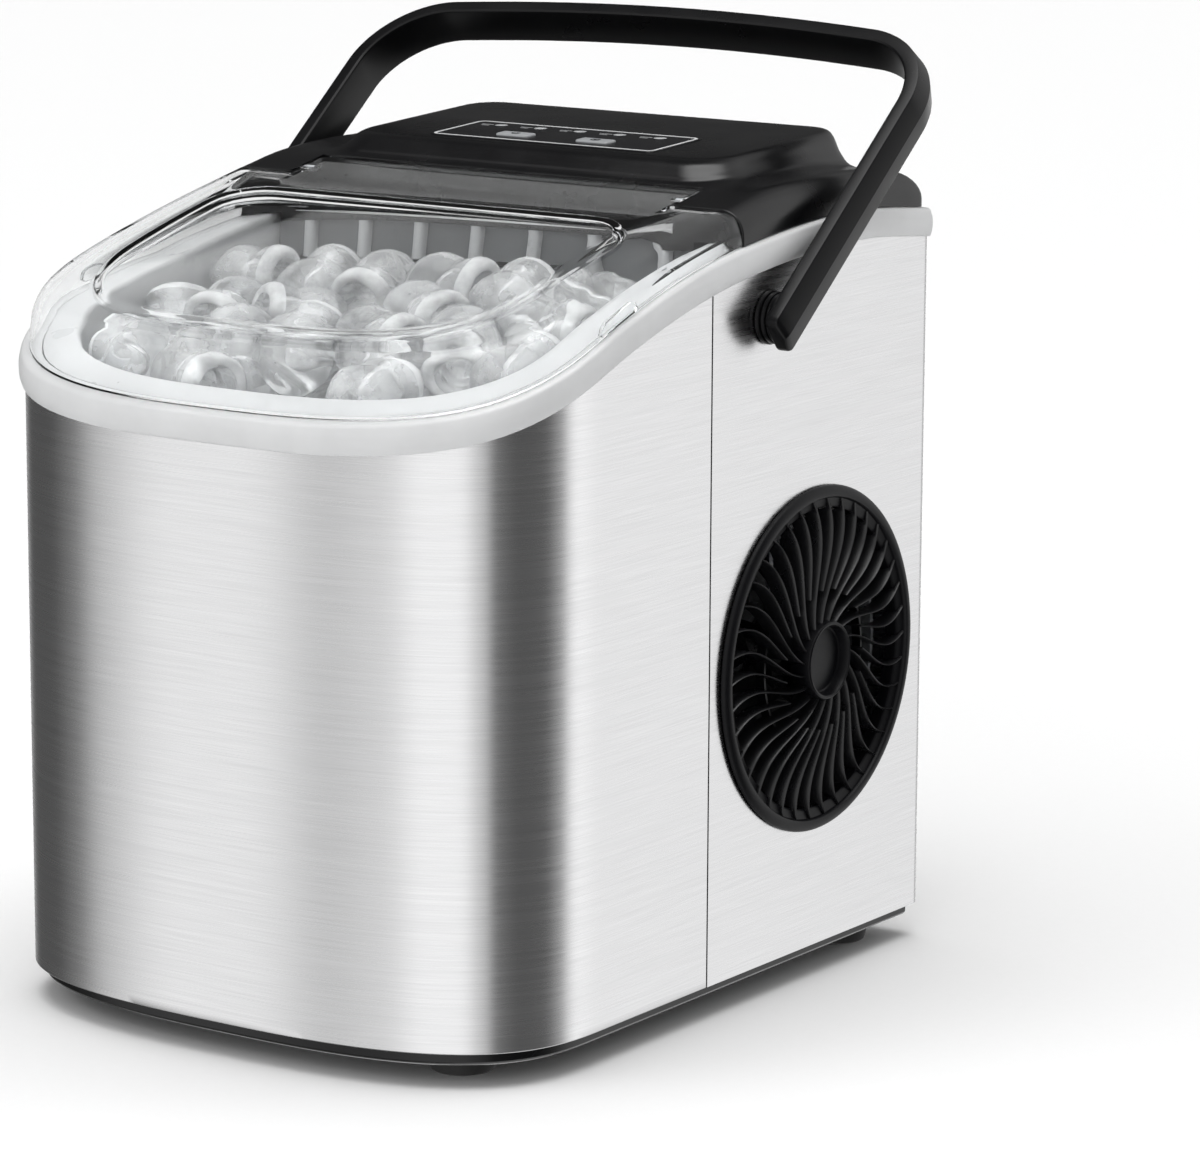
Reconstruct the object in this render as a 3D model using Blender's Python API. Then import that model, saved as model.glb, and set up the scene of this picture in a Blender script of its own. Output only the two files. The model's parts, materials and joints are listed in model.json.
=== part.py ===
"""Portable ice maker: a stainless housing with a clear lid, a bail handle and its working parts.

X points to the fan side, -Y to the rounded front and Z up.  The feet stand on Z = 0.
Lengths are written in millimetres and turned into metres by MM.
"""
import math

import bmesh
import bpy
from mathutils import Vector

MM = 0.001
GAP = 0.3                  # clearance between touching pieces

# Housing
HALF_WIDTH = 110.0
NOSE_CENTRE = -67.7        # where the straight sides meet the rounded nose
NOSE_DEPTH = 66.65
NOSE_POWER = 2.8           # superellipse exponent of the nose in plan
REAR = 134.35
REAR_CORNER = 4.0
SEAM = -5.0                # joint between the front wrap and the rear wrap
STEEL = 0.8
STEEL_BOTTOM = 12.0
FOOT_HEIGHT = 6.0

# Side view curves, as (y, z) points that a smooth curve runs through
RIM_SIDE = [(-134.4, 206.3), (-115.0, 212.8), (-90.0, 222.3), (-50.0, 236.8),
            (-5.0, 248.5), (45.0, 255.0), (90.0, 256.6), (134.4, 252.6)]
LID_SIDE = [(-127.0, 238.3), (-110.0, 242.0), (-92.0, 247.5), (-70.0, 254.3), (-47.0, 260.5),
            (-20.0, 266.8), (15.0, 274.0), (33.0, 277.2)]
SHOULDER_SIDE = [(15.0, 274.0), (40.0, 278.2), (75.0, 279.6), (105.0, 278.4), (134.0, 274.5)]
RIM_HEIGHT = 10.0
RIM_OVERHANG = 2.0

# Raised control platform on the top cover
PLATFORM_FRONT = 46.0
PLATFORM_Z = 285.3
PLATFORM_SLOPE = 0.05
PANEL = (46.0, 51.5, 81.0)           # half width, front y, rear y
BUTTON_X = 17.0
BUTTON_Y = 62.0
BUTTON = (7.0, 3.2)                  # half sizes
LED_Y = 75.0
LED_PITCH = 17.0

# Lid
LID_WALL = 2.2
LID_REAR = 14.3
TONGUE_HALF = 80.0
TONGUE_REAR = 32.3
HINGE = (24.0, 273.0)                # y, z of the lid's hinge line
RIDGE = (85.0, 49.3, -9.5, 18.0)     # half width, nose depth, rear y, corner radius
RIDGE_STEP = 3.2

# Tank, basket and ice making
TANK_INSET = 18.0
TANK_WALL = 1.5
TANK_BACK = 76.0
WELL_BACK = 8.0
WELL_FLOOR = 52.0
TRAY_AXIS = (42.0, 202.5)            # y, z of the line the tray tips about
SHOVEL_AXIS = (23.0, 240.0)
FINGER_PITCH = 13.0

# Fan side
FAN_Y = 61.7
FAN_Z = 114.2
FAN_HOLE = 54.0
GRILLE_OUTER = 60.4
SPOKES = 9
GLAND_X = 20.0
DRAIN_X = 64.0
REAR_FITTING_Z = 36.0

# Bail handle
PIVOT = (29.0, 237.0)
HANDLE_LEAN = math.radians(38.4)     # above the horizontal, towards the rear
HANDLE_HALF = 121.5
HANDLE_THICK = 6.6
HANDLE_DEPTH = 15.3
HANDLE_REACH = 137.0
HANDLE_BOW = 5.0
HANDLE_BEND = 32.0

FRAME_SHIFT = -2.75                  # puts the origin under the middle of the whole object


# ---------------------------------------------------------------- materials and meshes

def material(name, colour, roughness=0.5, metallic=0.0, transmission=0.0):
    found = bpy.data.materials.get(name)
    if found:
        return found
    mat = bpy.data.materials.new(name)
    mat.use_nodes = True
    shader = mat.node_tree.nodes["Principled BSDF"]
    shader.inputs["Base Color"].default_value = (*colour, 1.0)
    shader.inputs["Roughness"].default_value = roughness
    shader.inputs["Metallic"].default_value = metallic
    shader.inputs["Transmission Weight"].default_value = transmission
    return mat


def finish_mesh(mesh, angle=35.0):
    """Faces outward, corners sharp and round sides smooth."""
    work = bmesh.new()
    work.from_mesh(mesh)
    bmesh.ops.remove_doubles(work, verts=work.verts, dist=0.00001)
    bmesh.ops.recalc_face_normals(work, faces=work.faces)
    work.to_mesh(mesh)
    work.free()
    mesh.shade_smooth()
    mesh.set_sharp_from_angle(angle=math.radians(angle))


def build(name, verts, faces, mat, origin=(0.0, 0.0, 0.0)):
    """A mesh object from millimetre points, with its origin at a given point."""
    base = Vector(origin)
    mesh = bpy.data.meshes.new(name)
    mesh.from_pydata([(Vector(v) - base) * MM for v in verts], [], faces)
    finish_mesh(mesh)
    obj = bpy.data.objects.new(name, mesh)
    obj.location = base * MM
    bpy.context.collection.objects.link(obj)
    mesh.materials.append(mat)
    return obj


def guide(obj):
    """Marks a cutter, which is not a piece of the object."""
    obj.hide_render = True
    obj.display_type = 'WIRE'
    return obj


def combine(target, tool, operation):
    change = target.modifiers.new(operation.lower(), 'BOOLEAN')
    change.operation = operation
    change.object = guide(tool)
    change.solver = 'EXACT'


# ---------------------------------------------------------------- curves in the side view

def smooth_height(points, y):
    """Cubic curve through (y, z) points, level with its neighbours' slope at each one."""
    if y <= points[0][0]:
        return points[0][1]
    if y >= points[-1][0]:
        return points[-1][1]

    def slope(i):
        before, after = points[max(i - 1, 0)], points[min(i + 1, len(points) - 1)]
        return (after[1] - before[1]) / (after[0] - before[0])

    i = max(k for k in range(len(points) - 1) if points[k][0] <= y)
    (y0, z0), (y1, z1) = points[i], points[i + 1]
    span = y1 - y0
    t = (y - y0) / span
    return ((2 * t ** 3 - 3 * t ** 2 + 1) * z0 + (t ** 3 - 2 * t ** 2 + t) * span * slope(i)
            + (3 * t ** 2 - 2 * t ** 3) * z1 + (t ** 3 - t ** 2) * span * slope(i + 1))


def rim_bottom(y):
    return smooth_height(RIM_SIDE, y)


def rim_top(y):
    return rim_bottom(y) + RIM_HEIGHT


def lid_crest(y):
    return smooth_height(LID_SIDE, y)


def shoulder(y):
    return smooth_height(SHOULDER_SIDE, y)


def platform(y):
    return PLATFORM_Z + PLATFORM_SLOPE * (y - PLATFORM_FRONT)


# ---------------------------------------------------------------- outlines in plan

def arc(centre, radius, start, end, steps):
    """Points of an arc, with angles in degrees."""
    turns = [math.radians(start + (end - start) * i / steps) for i in range(steps + 1)]
    return [(centre[0] + radius * math.cos(a), centre[1] + radius * math.sin(a)) for a in turns]


def nose_half(half, rear, corner, depth, sides=10, nose=10):
    """Right half of the housing's outline, from the rear edge to the front of the nose."""
    corner = max(corner, 0.6)
    points = arc((half - corner, rear - corner), corner, 90, 0, 3)
    start = rear - corner
    points += [(half, start + (NOSE_CENTRE - start) * i / sides) for i in range(1, sides)]
    for i in range(nose + 1):
        turn = math.pi / 2 * i / nose
        reach = (abs(math.cos(turn) / half) ** NOSE_POWER
                 + abs(math.sin(turn) / depth) ** NOSE_POWER) ** (-1 / NOSE_POWER)
        points.append((reach * math.cos(turn), NOSE_CENTRE - reach * math.sin(turn)))
    points[-1] = (0.0, NOSE_CENTRE - depth)
    return points


def housing_half(inset, rear=REAR, corner=REAR_CORNER, **counts):
    """The housing's outline moved inwards by a given distance."""
    back = rear - inset if rear == REAR else rear
    return nose_half(HALF_WIDTH - inset, back, max(corner - inset, 0.6), NOSE_DEPTH - inset, **counts)


def block_half(half, front, rear, front_corner, rear_corner, sides=8):
    """Right half of a rounded rectangle."""
    points = arc((half - rear_corner, rear - rear_corner), rear_corner, 90, 0, 5)
    start, end = rear - rear_corner, front + front_corner
    points += [(half, start + (end - start) * i / sides) for i in range(1, sides)]
    return points + arc((half - front_corner, front + front_corner), front_corner, 0, -90, 5)


def loop(half, height):
    """Whole outline with its heights: the right half, then its mirror image."""
    whole = half + [(-x, y) for x, y in reversed(half) if x > 0.001]
    return [(x, y, height(y) if callable(height) else height) for x, y in whole]


def loft(name, loops, mat, closed=False, origin=(0.0, 0.0, 0.0)):
    """Skin over loops of equal length; the end loops are filled across, or joined to each other."""
    count = len(loops[0])
    verts = [point for one in loops for point in one]
    faces = []
    pairs = [(k, k + 1) for k in range(len(loops) - 1)]
    if closed:
        pairs.append((len(loops) - 1, 0))
    for low, high in pairs:
        for i in range(count):
            j = (i + 1) % count
            faces.append((low * count + i, low * count + j, high * count + j, high * count + i))
    if not closed:
        for base in (0, (len(loops) - 1) * count):
            for i in range((count - 1) // 2):
                rung = (base + i, base + i + 1, base + count - 2 - i, base + count - 1 - i)
                faces.append(tuple(dict.fromkeys(rung)))
    return build(name, verts, faces, mat, origin)


def band(name, path_outer, path_inner, bottom, top, mat):
    """A bent sheet that stands on edge along a path, capped at both ends."""
    verts = []
    for (xo, yo), (xi, yi) in zip(path_outer, path_inner):
        verts += [(xo, yo, bottom), (xo, yo, top(yo)), (xi, yi, top(yo)), (xi, yi, bottom)]
    faces = []
    for k in range(len(path_outer) - 1):
        for i in range(4):
            j = (i + 1) % 4
            faces.append((4 * k + i, 4 * k + j, 4 * k + 4 + j, 4 * k + 4 + i))
    last = 4 * (len(path_outer) - 1)
    faces += [(0, 1, 2, 3), (last, last + 1, last + 2, last + 3)]
    return build(name, verts, faces, mat)


# ---------------------------------------------------------------- simple solids

def box(name, low, high, mat, origin=(0.0, 0.0, 0.0)):
    (x0, y0, z0), (x1, y1, z1) = low, high
    verts = [(x, y, z) for z in (z0, z1) for y in (y0, y1) for x in (x0, x1)]
    faces = [(0, 2, 3, 1), (4, 5, 7, 6), (0, 1, 5, 4), (2, 6, 7, 3), (0, 4, 6, 2), (1, 3, 7, 5)]
    return build(name, verts, faces, mat, origin)


def turned(name, centre, axis, profile, mat, steps=20, origin=(0.0, 0.0, 0.0)):
    """A round body from (radius, place along the axis) points; a zero radius closes an end."""
    verts, rings = [], []
    for radius, along in profile:
        ring = []
        for i in range(1 if radius == 0 else steps):
            a = 2 * math.pi * i / steps
            u, v = radius * math.cos(a), radius * math.sin(a)
            offset = {'X': (along, u, v), 'Y': (u, along, v), 'Z': (u, v, along)}[axis]
            ring.append(len(verts))
            verts.append(tuple(c + o for c, o in zip(centre, offset)))
        rings.append(ring)
    faces = []
    hollow = profile[0][0] > 0
    pairs = list(zip(rings, rings[1:])) + ([(rings[-1], rings[0])] if hollow else [])
    for one, two in pairs:
        for i in range(steps):
            j = (i + 1) % steps
            quad = (one[i % len(one)], one[j % len(one)], two[j % len(two)], two[i % len(two)])
            faces.append(tuple(dict.fromkeys(quad)))
    return build(name, verts, faces, mat, origin)


def extruded(name, outline, axis, low, high, mat, origin=(0.0, 0.0, 0.0)):
    """A prism from a closed outline; the outline's two numbers follow the axes that are left."""
    count = len(outline)
    verts = []
    for level in (low, high):
        for u, v in outline:
            verts.append({'X': (level, u, v), 'Y': (u, level, v), 'Z': (u, v, level)}[axis])
    faces = [(i, (i + 1) % count, count + (i + 1) % count, count + i) for i in range(count)]
    faces += [tuple(range(count)), tuple(range(count, 2 * count))]
    return build(name, verts, faces, mat, origin)


def many(name, pieces):
    """Joins solids that do not touch, to serve as one tool of a Boolean."""
    bpy.ops.object.select_all(action='DESELECT')
    for piece in pieces:
        piece.select_set(True)
    bpy.context.view_layer.objects.active = pieces[0]
    bpy.ops.object.join()
    pieces[0].name = name
    return pieces[0]


def tube(name, route, radius, mat, steps=4):
    """A bent pipe along a smooth curve through the route's points."""
    points = [Vector(p) for p in route]
    ends = [2 * points[0] - points[1]] + points + [2 * points[-1] - points[-2]]
    line = []
    for a, b, c, d in zip(ends, ends[1:], ends[2:], ends[3:]):
        for k in range(steps):
            t = k / steps
            line.append(0.5 * (2 * b + (c - a) * t + (2 * a - 5 * b + 4 * c - d) * t * t
                               + (3 * b - a - 3 * c + d) * t ** 3))
    line.append(points[-1])
    curve = bpy.data.curves.new(name, 'CURVE')
    curve.dimensions = '3D'
    curve.bevel_depth = radius * MM
    curve.bevel_resolution = 2
    curve.use_fill_caps = True
    spline = curve.splines.new('POLY')
    spline.points.add(len(line) - 1)
    for slot, point in zip(spline.points, line):
        slot.co = (*(point * MM), 1.0)
    curve.materials.append(mat)
    obj = bpy.data.objects.new(name, curve)
    bpy.context.collection.objects.link(obj)
    return obj


# ---------------------------------------------------------------- finishes

def finishes():
    return {
        "steel": material("brushed_steel", (0.62, 0.62, 0.63), 0.32, 1.0),
        "zinc": material("zinc_plate", (0.55, 0.56, 0.58), 0.4, 1.0),
        "copper": material("copper_tube", (0.72, 0.38, 0.22), 0.35, 1.0),
        "fins": material("aluminium_fins", (0.75, 0.76, 0.78), 0.4, 1.0),
        "rim": material("rim_plastic", (0.78, 0.79, 0.80), 0.35),
        "liner": material("liner_plastic", (0.82, 0.83, 0.84), 0.4),
        "basket": material("basket_plastic", (0.66, 0.68, 0.70), 0.4),
        "grey": material("grey_plastic", (0.20, 0.21, 0.22), 0.45),
        "black": material("black_plastic", (0.012, 0.012, 0.013), 0.38),
        "gloss": material("panel_gloss", (0.02, 0.02, 0.022), 0.12),
        "silver": material("button_silver", (0.45, 0.46, 0.47), 0.4),
        "lens": material("lens_clear", (0.85, 0.86, 0.86), 0.2),
        "clear": material("clear_lid", (0.93, 0.96, 0.97), 0.03, 0.0, 1.0),
        "rubber": material("foot_rubber", (0.03, 0.03, 0.03), 0.8),
        "foam": material("foam", (0.86, 0.87, 0.86), 0.9),
        "board": material("circuit_board", (0.02, 0.16, 0.07), 0.5),
        "pot": material("compressor_paint", (0.025, 0.025, 0.028), 0.45),
        "hose": material("silicone_hose", (0.75, 0.76, 0.76), 0.5),
    }


# ---------------------------------------------------------------- housing

def make_base(mats):
    steps = [(7.0, FOOT_HEIGHT), (3.5, 8.0), (3.5, 11.5), (1.2, 12.3), (1.2, 24.0),
             (3.2, 24.0), (5.7, 12.0), (5.7, 9.5)]
    loft("base_tray", [loop(housing_half(inset), z) for inset, z in steps], mats["black"])
    places = {"front_left": (-74, -96), "front_right": (74, -96),
              "rear_left": (-88, 112), "rear_right": (88, 112)}
    profile = [(0, 0), (10.0, 0), (11.0, 1.0), (12.0, FOOT_HEIGHT - GAP), (0, FOOT_HEIGHT - GAP)]
    for side, (x, y) in places.items():
        turned("foot_" + side, (x, y, 0), 'Z', profile, mats["rubber"], steps=16)


def wrap_paths(inset, front):
    """Path of the front wrap or of the rear wrap, from the right side round to the left."""
    half = housing_half(inset)
    if front:
        side = [(x, y) for x, y in half if y < SEAM - 2]
        right = [(HALF_WIDTH - inset, SEAM - 0.4)] + side
        return right + [(-x, y) for x, y in reversed(right) if x > 0.001]
    right = [(x, y) for x, y in half if y > SEAM + 2]
    right = list(reversed(right + [(HALF_WIDTH - inset, SEAM + 0.4)]))
    return right + [(-x, y) for x, y in reversed(right)]


def make_shells(mats):
    def top(y):
        return rim_bottom(y) + 3.5

    band("front_shell", wrap_paths(0, True), wrap_paths(STEEL, True), STEEL_BOTTOM, top, mats["steel"])
    rear = band("rear_shell", wrap_paths(0, False), wrap_paths(STEEL, False), STEEL_BOTTOM, top,
                mats["steel"])
    holes = [turned("cut_fan", (HALF_WIDTH - 5, FAN_Y, FAN_Z), 'X',
                    [(0, 0), (FAN_HOLE, 0), (FAN_HOLE, 10), (0, 10)], mats["steel"], steps=40)]
    for side in (-1, 1):
        holes.append(turned("cut_pivot", (side * HALF_WIDTH, *PIVOT), 'X',
                            [(0, -3), (3.3, -3), (3.3, 3), (0, 3)], mats["steel"], steps=12))
    for x, radius in ((DRAIN_X, 7.5), (GLAND_X, 6.4)):
        holes.append(turned("cut_rear", (x, REAR, REAR_FITTING_Z), 'Y',
                            [(0, -4), (radius, -4), (radius, 4), (0, 4)], mats["steel"], steps=16))
    holes.append(box("cut_intake", (-56, REAR - 5, 150), (56, REAR + 5, 210), mats["steel"]))
    combine(rear, many("cut_shell", holes), 'DIFFERENCE')


def make_rim(mats):
    section = [(-RIM_OVERHANG, 0), (-RIM_OVERHANG, 8.6), (-1.5, 9.6), (-0.5, RIM_HEIGHT), (6, RIM_HEIGHT),
               (6, 4), (-GAP, 4), (-GAP, 0)]
    loops = [loop(housing_half(inset, corner=REAR_CORNER), lambda y, dz=dz: rim_bottom(y) + dz)
             for inset, dz in section]
    loft("rim", loops, mats["rim"], closed=True)


def make_rear_fittings(mats):
    plate = box("intake_grille", (-60, REAR + GAP, 146), (60, REAR + 2.3, 214), mats["black"])
    slots = [box("cut_slot", (x, REAR - 2, 151 + 7.6 * i), (x + 50, REAR + 5, 155 + 7.6 * i), mats["black"])
             for i in range(8) for x in (-53, 3)]
    combine(plate, many("cut_grille_slots", slots), 'DIFFERENCE')
    turned("cord_gland", (GLAND_X, REAR, REAR_FITTING_Z), 'Y',
           [(0, -6), (8, -6), (8, -1.1), (6, -1.1), (6, 0.4), (9, 0.4), (9, 2.6), (5.6, 3.2), (4.8, 7.5),
            (3.3, 7.5), (3.3, -2), (0, -2)], mats["black"], steps=16)
    turned("drain_spout", (DRAIN_X, REAR, REAR_FITTING_Z), 'Y',
           [(5.0, -14), (7.0, -14), (7.0, 1.6), (5.0, 1.6)], mats["grey"], steps=16)
    turned("drain_plug", (DRAIN_X, REAR, REAR_FITTING_Z), 'Y',
           [(0, 2.0), (9.2, 2.0), (9.2, 5.2), (8.4, 6.2), (3.4, 6.2), (3.0, 7.5), (0, 7.5)],
           mats["black"], steps=20, origin=(DRAIN_X, REAR, REAR_FITTING_Z))
    for name, x in (("left", -98), ("right", 98)):
        turned("rear_screw_" + name, (x, REAR, 236), 'Y',
               [(0, GAP), (3.2, GAP), (2.6, 1.4), (1.2, 1.9), (0, 1.4)], mats["zinc"], steps=10)


# ---------------------------------------------------------------- tank and ice making

def make_tank(mats):
    outer = TANK_INSET - TANK_WALL

    def at_rim(drop):
        return lambda y: rim_top(y) - drop

    def ring(inset, back, height):
        return loop(housing_half(inset, rear=back, corner=8.0 + inset), height)

    well, shelf = WELL_BACK + TANK_WALL, TANK_BACK + TANK_WALL
    loops = [ring(outer, well, 50.0), ring(outer, well, 165.0), ring(outer, shelf, 168.0),
             ring(outer, shelf, at_rim(2.4)), ring(6.3, shelf + 6, at_rim(2.4)),
             ring(6.3, shelf + 6, at_rim(0.2)), ring(TANK_INSET, TANK_BACK, at_rim(0.2)),
             ring(TANK_INSET, TANK_BACK, 170.0), ring(TANK_INSET, WELL_BACK, 167.0),
             ring(TANK_INSET, WELL_BACK, WELL_FLOOR)]
    tank = loft("tank_liner", loops, mats["liner"])
    holes = [turned("cut_line", (x, TANK_BACK, 232), 'Y', [(0, -3), (3.5, -3), (3.5, 5), (0, 5)],
                    mats["liner"], steps=12) for x in (-40, 40)]
    holes.append(turned("cut_shaft", (HALF_WIDTH - TANK_INSET, *TRAY_AXIS), 'X',
                        [(0, -4), (3.2, -4), (3.2, 4), (0, 4)], mats["liner"], steps=12))
    combine(tank, many("cut_tank", holes), 'DIFFERENCE')
    bearing = turned("add_bearing", (TANK_INSET - HALF_WIDTH, *TRAY_AXIS), 'X',
                     [(3.1, -0.5), (6, -0.5), (6, 4.5), (3.1, 4.5)], mats["liner"], steps=16)
    combine(tank, bearing, 'UNION')

    foam = [(4.0, 13.5, 36.0), (4.0, 13.5, 162.0), (outer - GAP, well + GAP, 162.0),
            (outer - GAP, well + GAP, 50.0 - GAP)]
    loft("tank_insulation", [ring(inset, back, z) for inset, back, z in foam], mats["foam"])

    def basket_top(y):
        return min(rim_bottom(y) - 4.0, 216.0)

    wall = [(24.5, 3.0, 62.0), (21.5, 5.0, basket_top), (20.0, 6.5, basket_top),
            (20.0, 6.5, lambda y: basket_top(y) + 2.0), (23.2, 3.4, lambda y: basket_top(y) + 2.0),
            (26.3, 1.4, 64.0)]
    basket = loft("ice_basket", [ring(inset, back, z) for inset, back, z in wall], mats["basket"])
    slots = [box("cut_drain", (-30, -96 + 14 * i, 58), (30, -91 + 14 * i, 68), mats["basket"])
             for i in range(6)]
    slots.append(box("cut_shovel_way", (-95, -3, 199), (95, 12, 225), mats["basket"]))
    combine(basket, many("cut_basket", slots), 'DIFFERENCE')


def make_ice_maker(mats):
    y, z = TRAY_AXIS
    tray = box("water_tray", (-70, y - 18.5, z - 24.5), (70, y + 18.5, z + 3.5), mats["liner"],
               origin=(0, y, z))
    combine(tray, box("cut_tray", (-68, y - 16.5, z - 22.5), (68, y + 16.5, z + 8), mats["liner"]),
            'DIFFERENCE')
    stubs = [turned("add_stub", (x, y, z), 'X', [(0, 0), (3, 0), (3, length), (0, length)],
                    mats["liner"], steps=16) for x, length in ((-89.5, 20.5), (69, 6.5))]
    combine(tray, many("add_stubs", stubs), 'UNION')
    turned("tray_shaft", (76, y, z), 'X', [(0, 0), (2.5, 0), (2.5, 17.5), (0, 17.5)], mats["zinc"],
           steps=12, origin=(0, y, z))
    turned("tray_motor", (94, y, z), 'X', [(0, 0), (18, 0), (18, 11), (16, 12), (0, 12)], mats["zinc"])

    sy, sz = SHOVEL_AXIS
    blade = [(sy - 1, sz - 32)] + arc((sy, sz), 2.5, 246, -66, 8) + [(sy + 1, sz - 32)]
    extruded("ice_shovel", blade, 'X', -86, 86, mats["grey"], origin=(0, sy, sz))

    plate = box("evaporator", (-66, y - 14, 226), (66, y + 14, 238), mats["fins"])
    columns = [(FINGER_PITCH * (i - 4), y + (6.5 if i % 2 else -6.5)) for i in range(9)]
    fingers = [turned("add_finger", (fx, fy, 196), 'Z', [(0, 0), (3.0, 0), (4.0, 1.5), (4.0, 32), (0, 32)],
                      mats["fins"], steps=8) for fx, fy in columns]
    fingers += [turned("add_line", (fx, y + 12, 232), 'Y', [(0, 0), (3, 0), (3, 34), (0, 34)], mats["fins"],
                       steps=10) for fx in (-40, 40)]
    combine(plate, many("add_fingers", fingers), 'UNION')

    for name, side in (("left", -1), ("right", 1)):
        x0, x1 = sorted((side * 91.7, side * 87.5))
        box("ice_sensor_" + name, (x0, 8.5, 226), (x1, 19, 236), mats["grey"])


def make_cooling(mats):
    pot = turned("compressor", (-45, 72, 16), 'Z',
                 [(0, 0), (34, 0), (44, 6), (46, 16), (46, 92), (44, 102), (34, 109), (18, 112), (0, 113)],
                 mats["pot"], steps=28)
    stubs = [turned("add_stub", (x, 72, 120), 'Z', [(0, 0), (3.2, 0), (3.2, 16), (0, 16)], mats["copper"],
                    steps=10) for x in (-58, -35)]
    combine(pot, many("add_pot_stubs", stubs), 'UNION')
    box("compressor_mount", (-92, 34, 9.8), (2, 112, 15.7), mats["zinc"])
    box("start_relay", (1.4, 58, 48), (22, 84, 84), mats["grey"])

    teeth = 20
    pitch = 92.0 / teeth
    outline = [(62, 18), (62, 110)]
    for i in range(teeth):
        edge = 110 - pitch * i
        outline += [(82, edge), (82, edge - pitch / 2), (66, edge - pitch / 2), (66, edge - pitch)]
    outline[-1] = (66, 18)
    extruded("condenser", outline, 'Z', 66, 150, mats["fins"])
    turned("filter_drier", (72, 98, 150 + GAP), 'Z',
           [(0, 0), (2.5, 0), (6, 5), (6, 28), (2.5, 34), (0, 34)], mats["copper"], steps=12)
    tube("discharge_line", [(-35, 72, 136.3), (-34, 74, 146), (-12, 86, 153), (30, 98, 157), (60, 105, 158.5),
                            (70, 106.5, 156.5), (72, 107, 150.4)], 2.2, mats["copper"])
    tube("suction_line", [(-58, 72, 136.3), (-58, 74, 146), (-57, 86, 158), (-54, 96, 176), (-47, 100, 205),
                          (-41, 98, 226), (-40, 94, 231.5), (-40, 88.4, 232)], 2.5, mats["copper"])
    tube("liquid_line", [(72, 98, 184.8), (71, 99, 194), (60, 101, 216), (44, 99, 229), (40, 94, 232),
                         (40, 88.4, 232)], 2.0, mats["copper"])


def make_water(mats):
    turned("water_pump", (-60, -40, 9.8), 'Z', [(0, 0), (16, 0), (16, 18), (12, 22), (0, 22)], mats["black"])
    tube("pump_hose", [(-60, -23.6, 20), (-62, -12, 20), (-72, 6, 20), (-87, 21, 26), (-96, 31, 44),
                       (-99, 38, 75), (-98, 46, 115), (-90, 56, 142), (-82, 60, 156), (-81, 60, 165.5)],
         3.5, mats["hose"], steps=3)
    tube("drain_hose", [(30, -10, 34.0), (30, -10, 27), (36, 8, 18), (48, 40, 17), (60, 80, 20),
                        (DRAIN_X, 104, 33), (DRAIN_X, 119.8, REAR_FITTING_Z)], 4.0, mats["hose"], steps=3)


def make_fan(mats):
    centre = (0, FAN_Y, FAN_Z)
    shroud = turned("fan_shroud", centre, 'X', [(46.2, 84), (47.8, 84), (47.8, 104), (46.2, 104)],
                    mats["grey"], steps=32)
    combine(shroud, turned("add_seat", centre, 'X', [(15.3, 84), (17.5, 84), (17.5, 90), (15.3, 90)],
                           mats["grey"], steps=24), 'UNION')
    arms = [box("add_arm", (84.5, y0, z0), (87.5, y1, z1), mats["grey"])
            for y0, y1, z0, z1 in ((FAN_Y - 47, FAN_Y - 16.5, FAN_Z - 3, FAN_Z + 3),
                                   (FAN_Y + 16.5, FAN_Y + 47, FAN_Z - 3, FAN_Z + 3),
                                   (FAN_Y - 3, FAN_Y + 3, FAN_Z - 47, FAN_Z - 16.5),
                                   (FAN_Y - 3, FAN_Y + 3, FAN_Z + 16.5, FAN_Z + 47))]
    combine(shroud, many("add_arms", arms), 'UNION')
    turned("fan_motor", centre, 'X', [(0, 82.4), (15, 82.4), (15, 91), (2, 91), (2, 96), (0, 96)],
           mats["pot"])
    cup = [(0, 97), (2.4, 97), (2.4, 91.6), (16, 91.6), (16, 102), (13, 104), (0, 104)]
    rotor = turned("fan_rotor", centre, 'X', cup, mats["black"], origin=centre)
    blades = []
    for i in range(7):
        turn = 2 * math.pi * i / 7
        points = []
        for radius, sweep in ((14, 0.0), (30, 0.10), (43.5, 0.26)):
            for x, lead in ((93, -0.20), (102, 0.16)):
                a = turn + sweep + lead * 18 / radius ** 0.8
                points.append((x, radius * math.cos(a), radius * math.sin(a)))
        verts = []
        for x, u, v in points:
            verts.append((x - 0.8, FAN_Y + u, FAN_Z + v))
        for x, u, v in points:
            verts.append((x + 0.8, FAN_Y + u, FAN_Z + v))
        faces = [(0, 1, 3, 2), (2, 3, 5, 4), (6, 8, 9, 7), (8, 10, 11, 9), (0, 6, 7, 1), (4, 5, 11, 10),
                 (0, 2, 8, 6), (2, 4, 10, 8), (1, 7, 9, 3), (3, 9, 11, 5)]
        blades.append(build("add_blade", verts, faces, mats["black"]))
    combine(rotor, many("add_blades", blades), 'UNION')

    grille = turned("fan_grille", centre, 'X',
                    [(50.8, 106), (53.6, 106), (53.6, 110.3), (GRILLE_OUTER, 110.3), (GRILLE_OUTER, 111.5),
                     (59.4, 112.4), (54.5, 112.8), (50.8, 112.0)], mats["black"], steps=40)
    hub = turned("add_hub", centre, 'X', [(0, 108), (14, 108), (14, 115.2), (12.5, 116.2), (0, 116.6)],
                 mats["black"], steps=24)
    spokes = [spoke(2 * math.pi * i / SPOKES, mats["black"]) for i in range(SPOKES)]
    combine(grille, many("add_spokes", spokes), 'UNION')
    combine(grille, hub, 'UNION')


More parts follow.
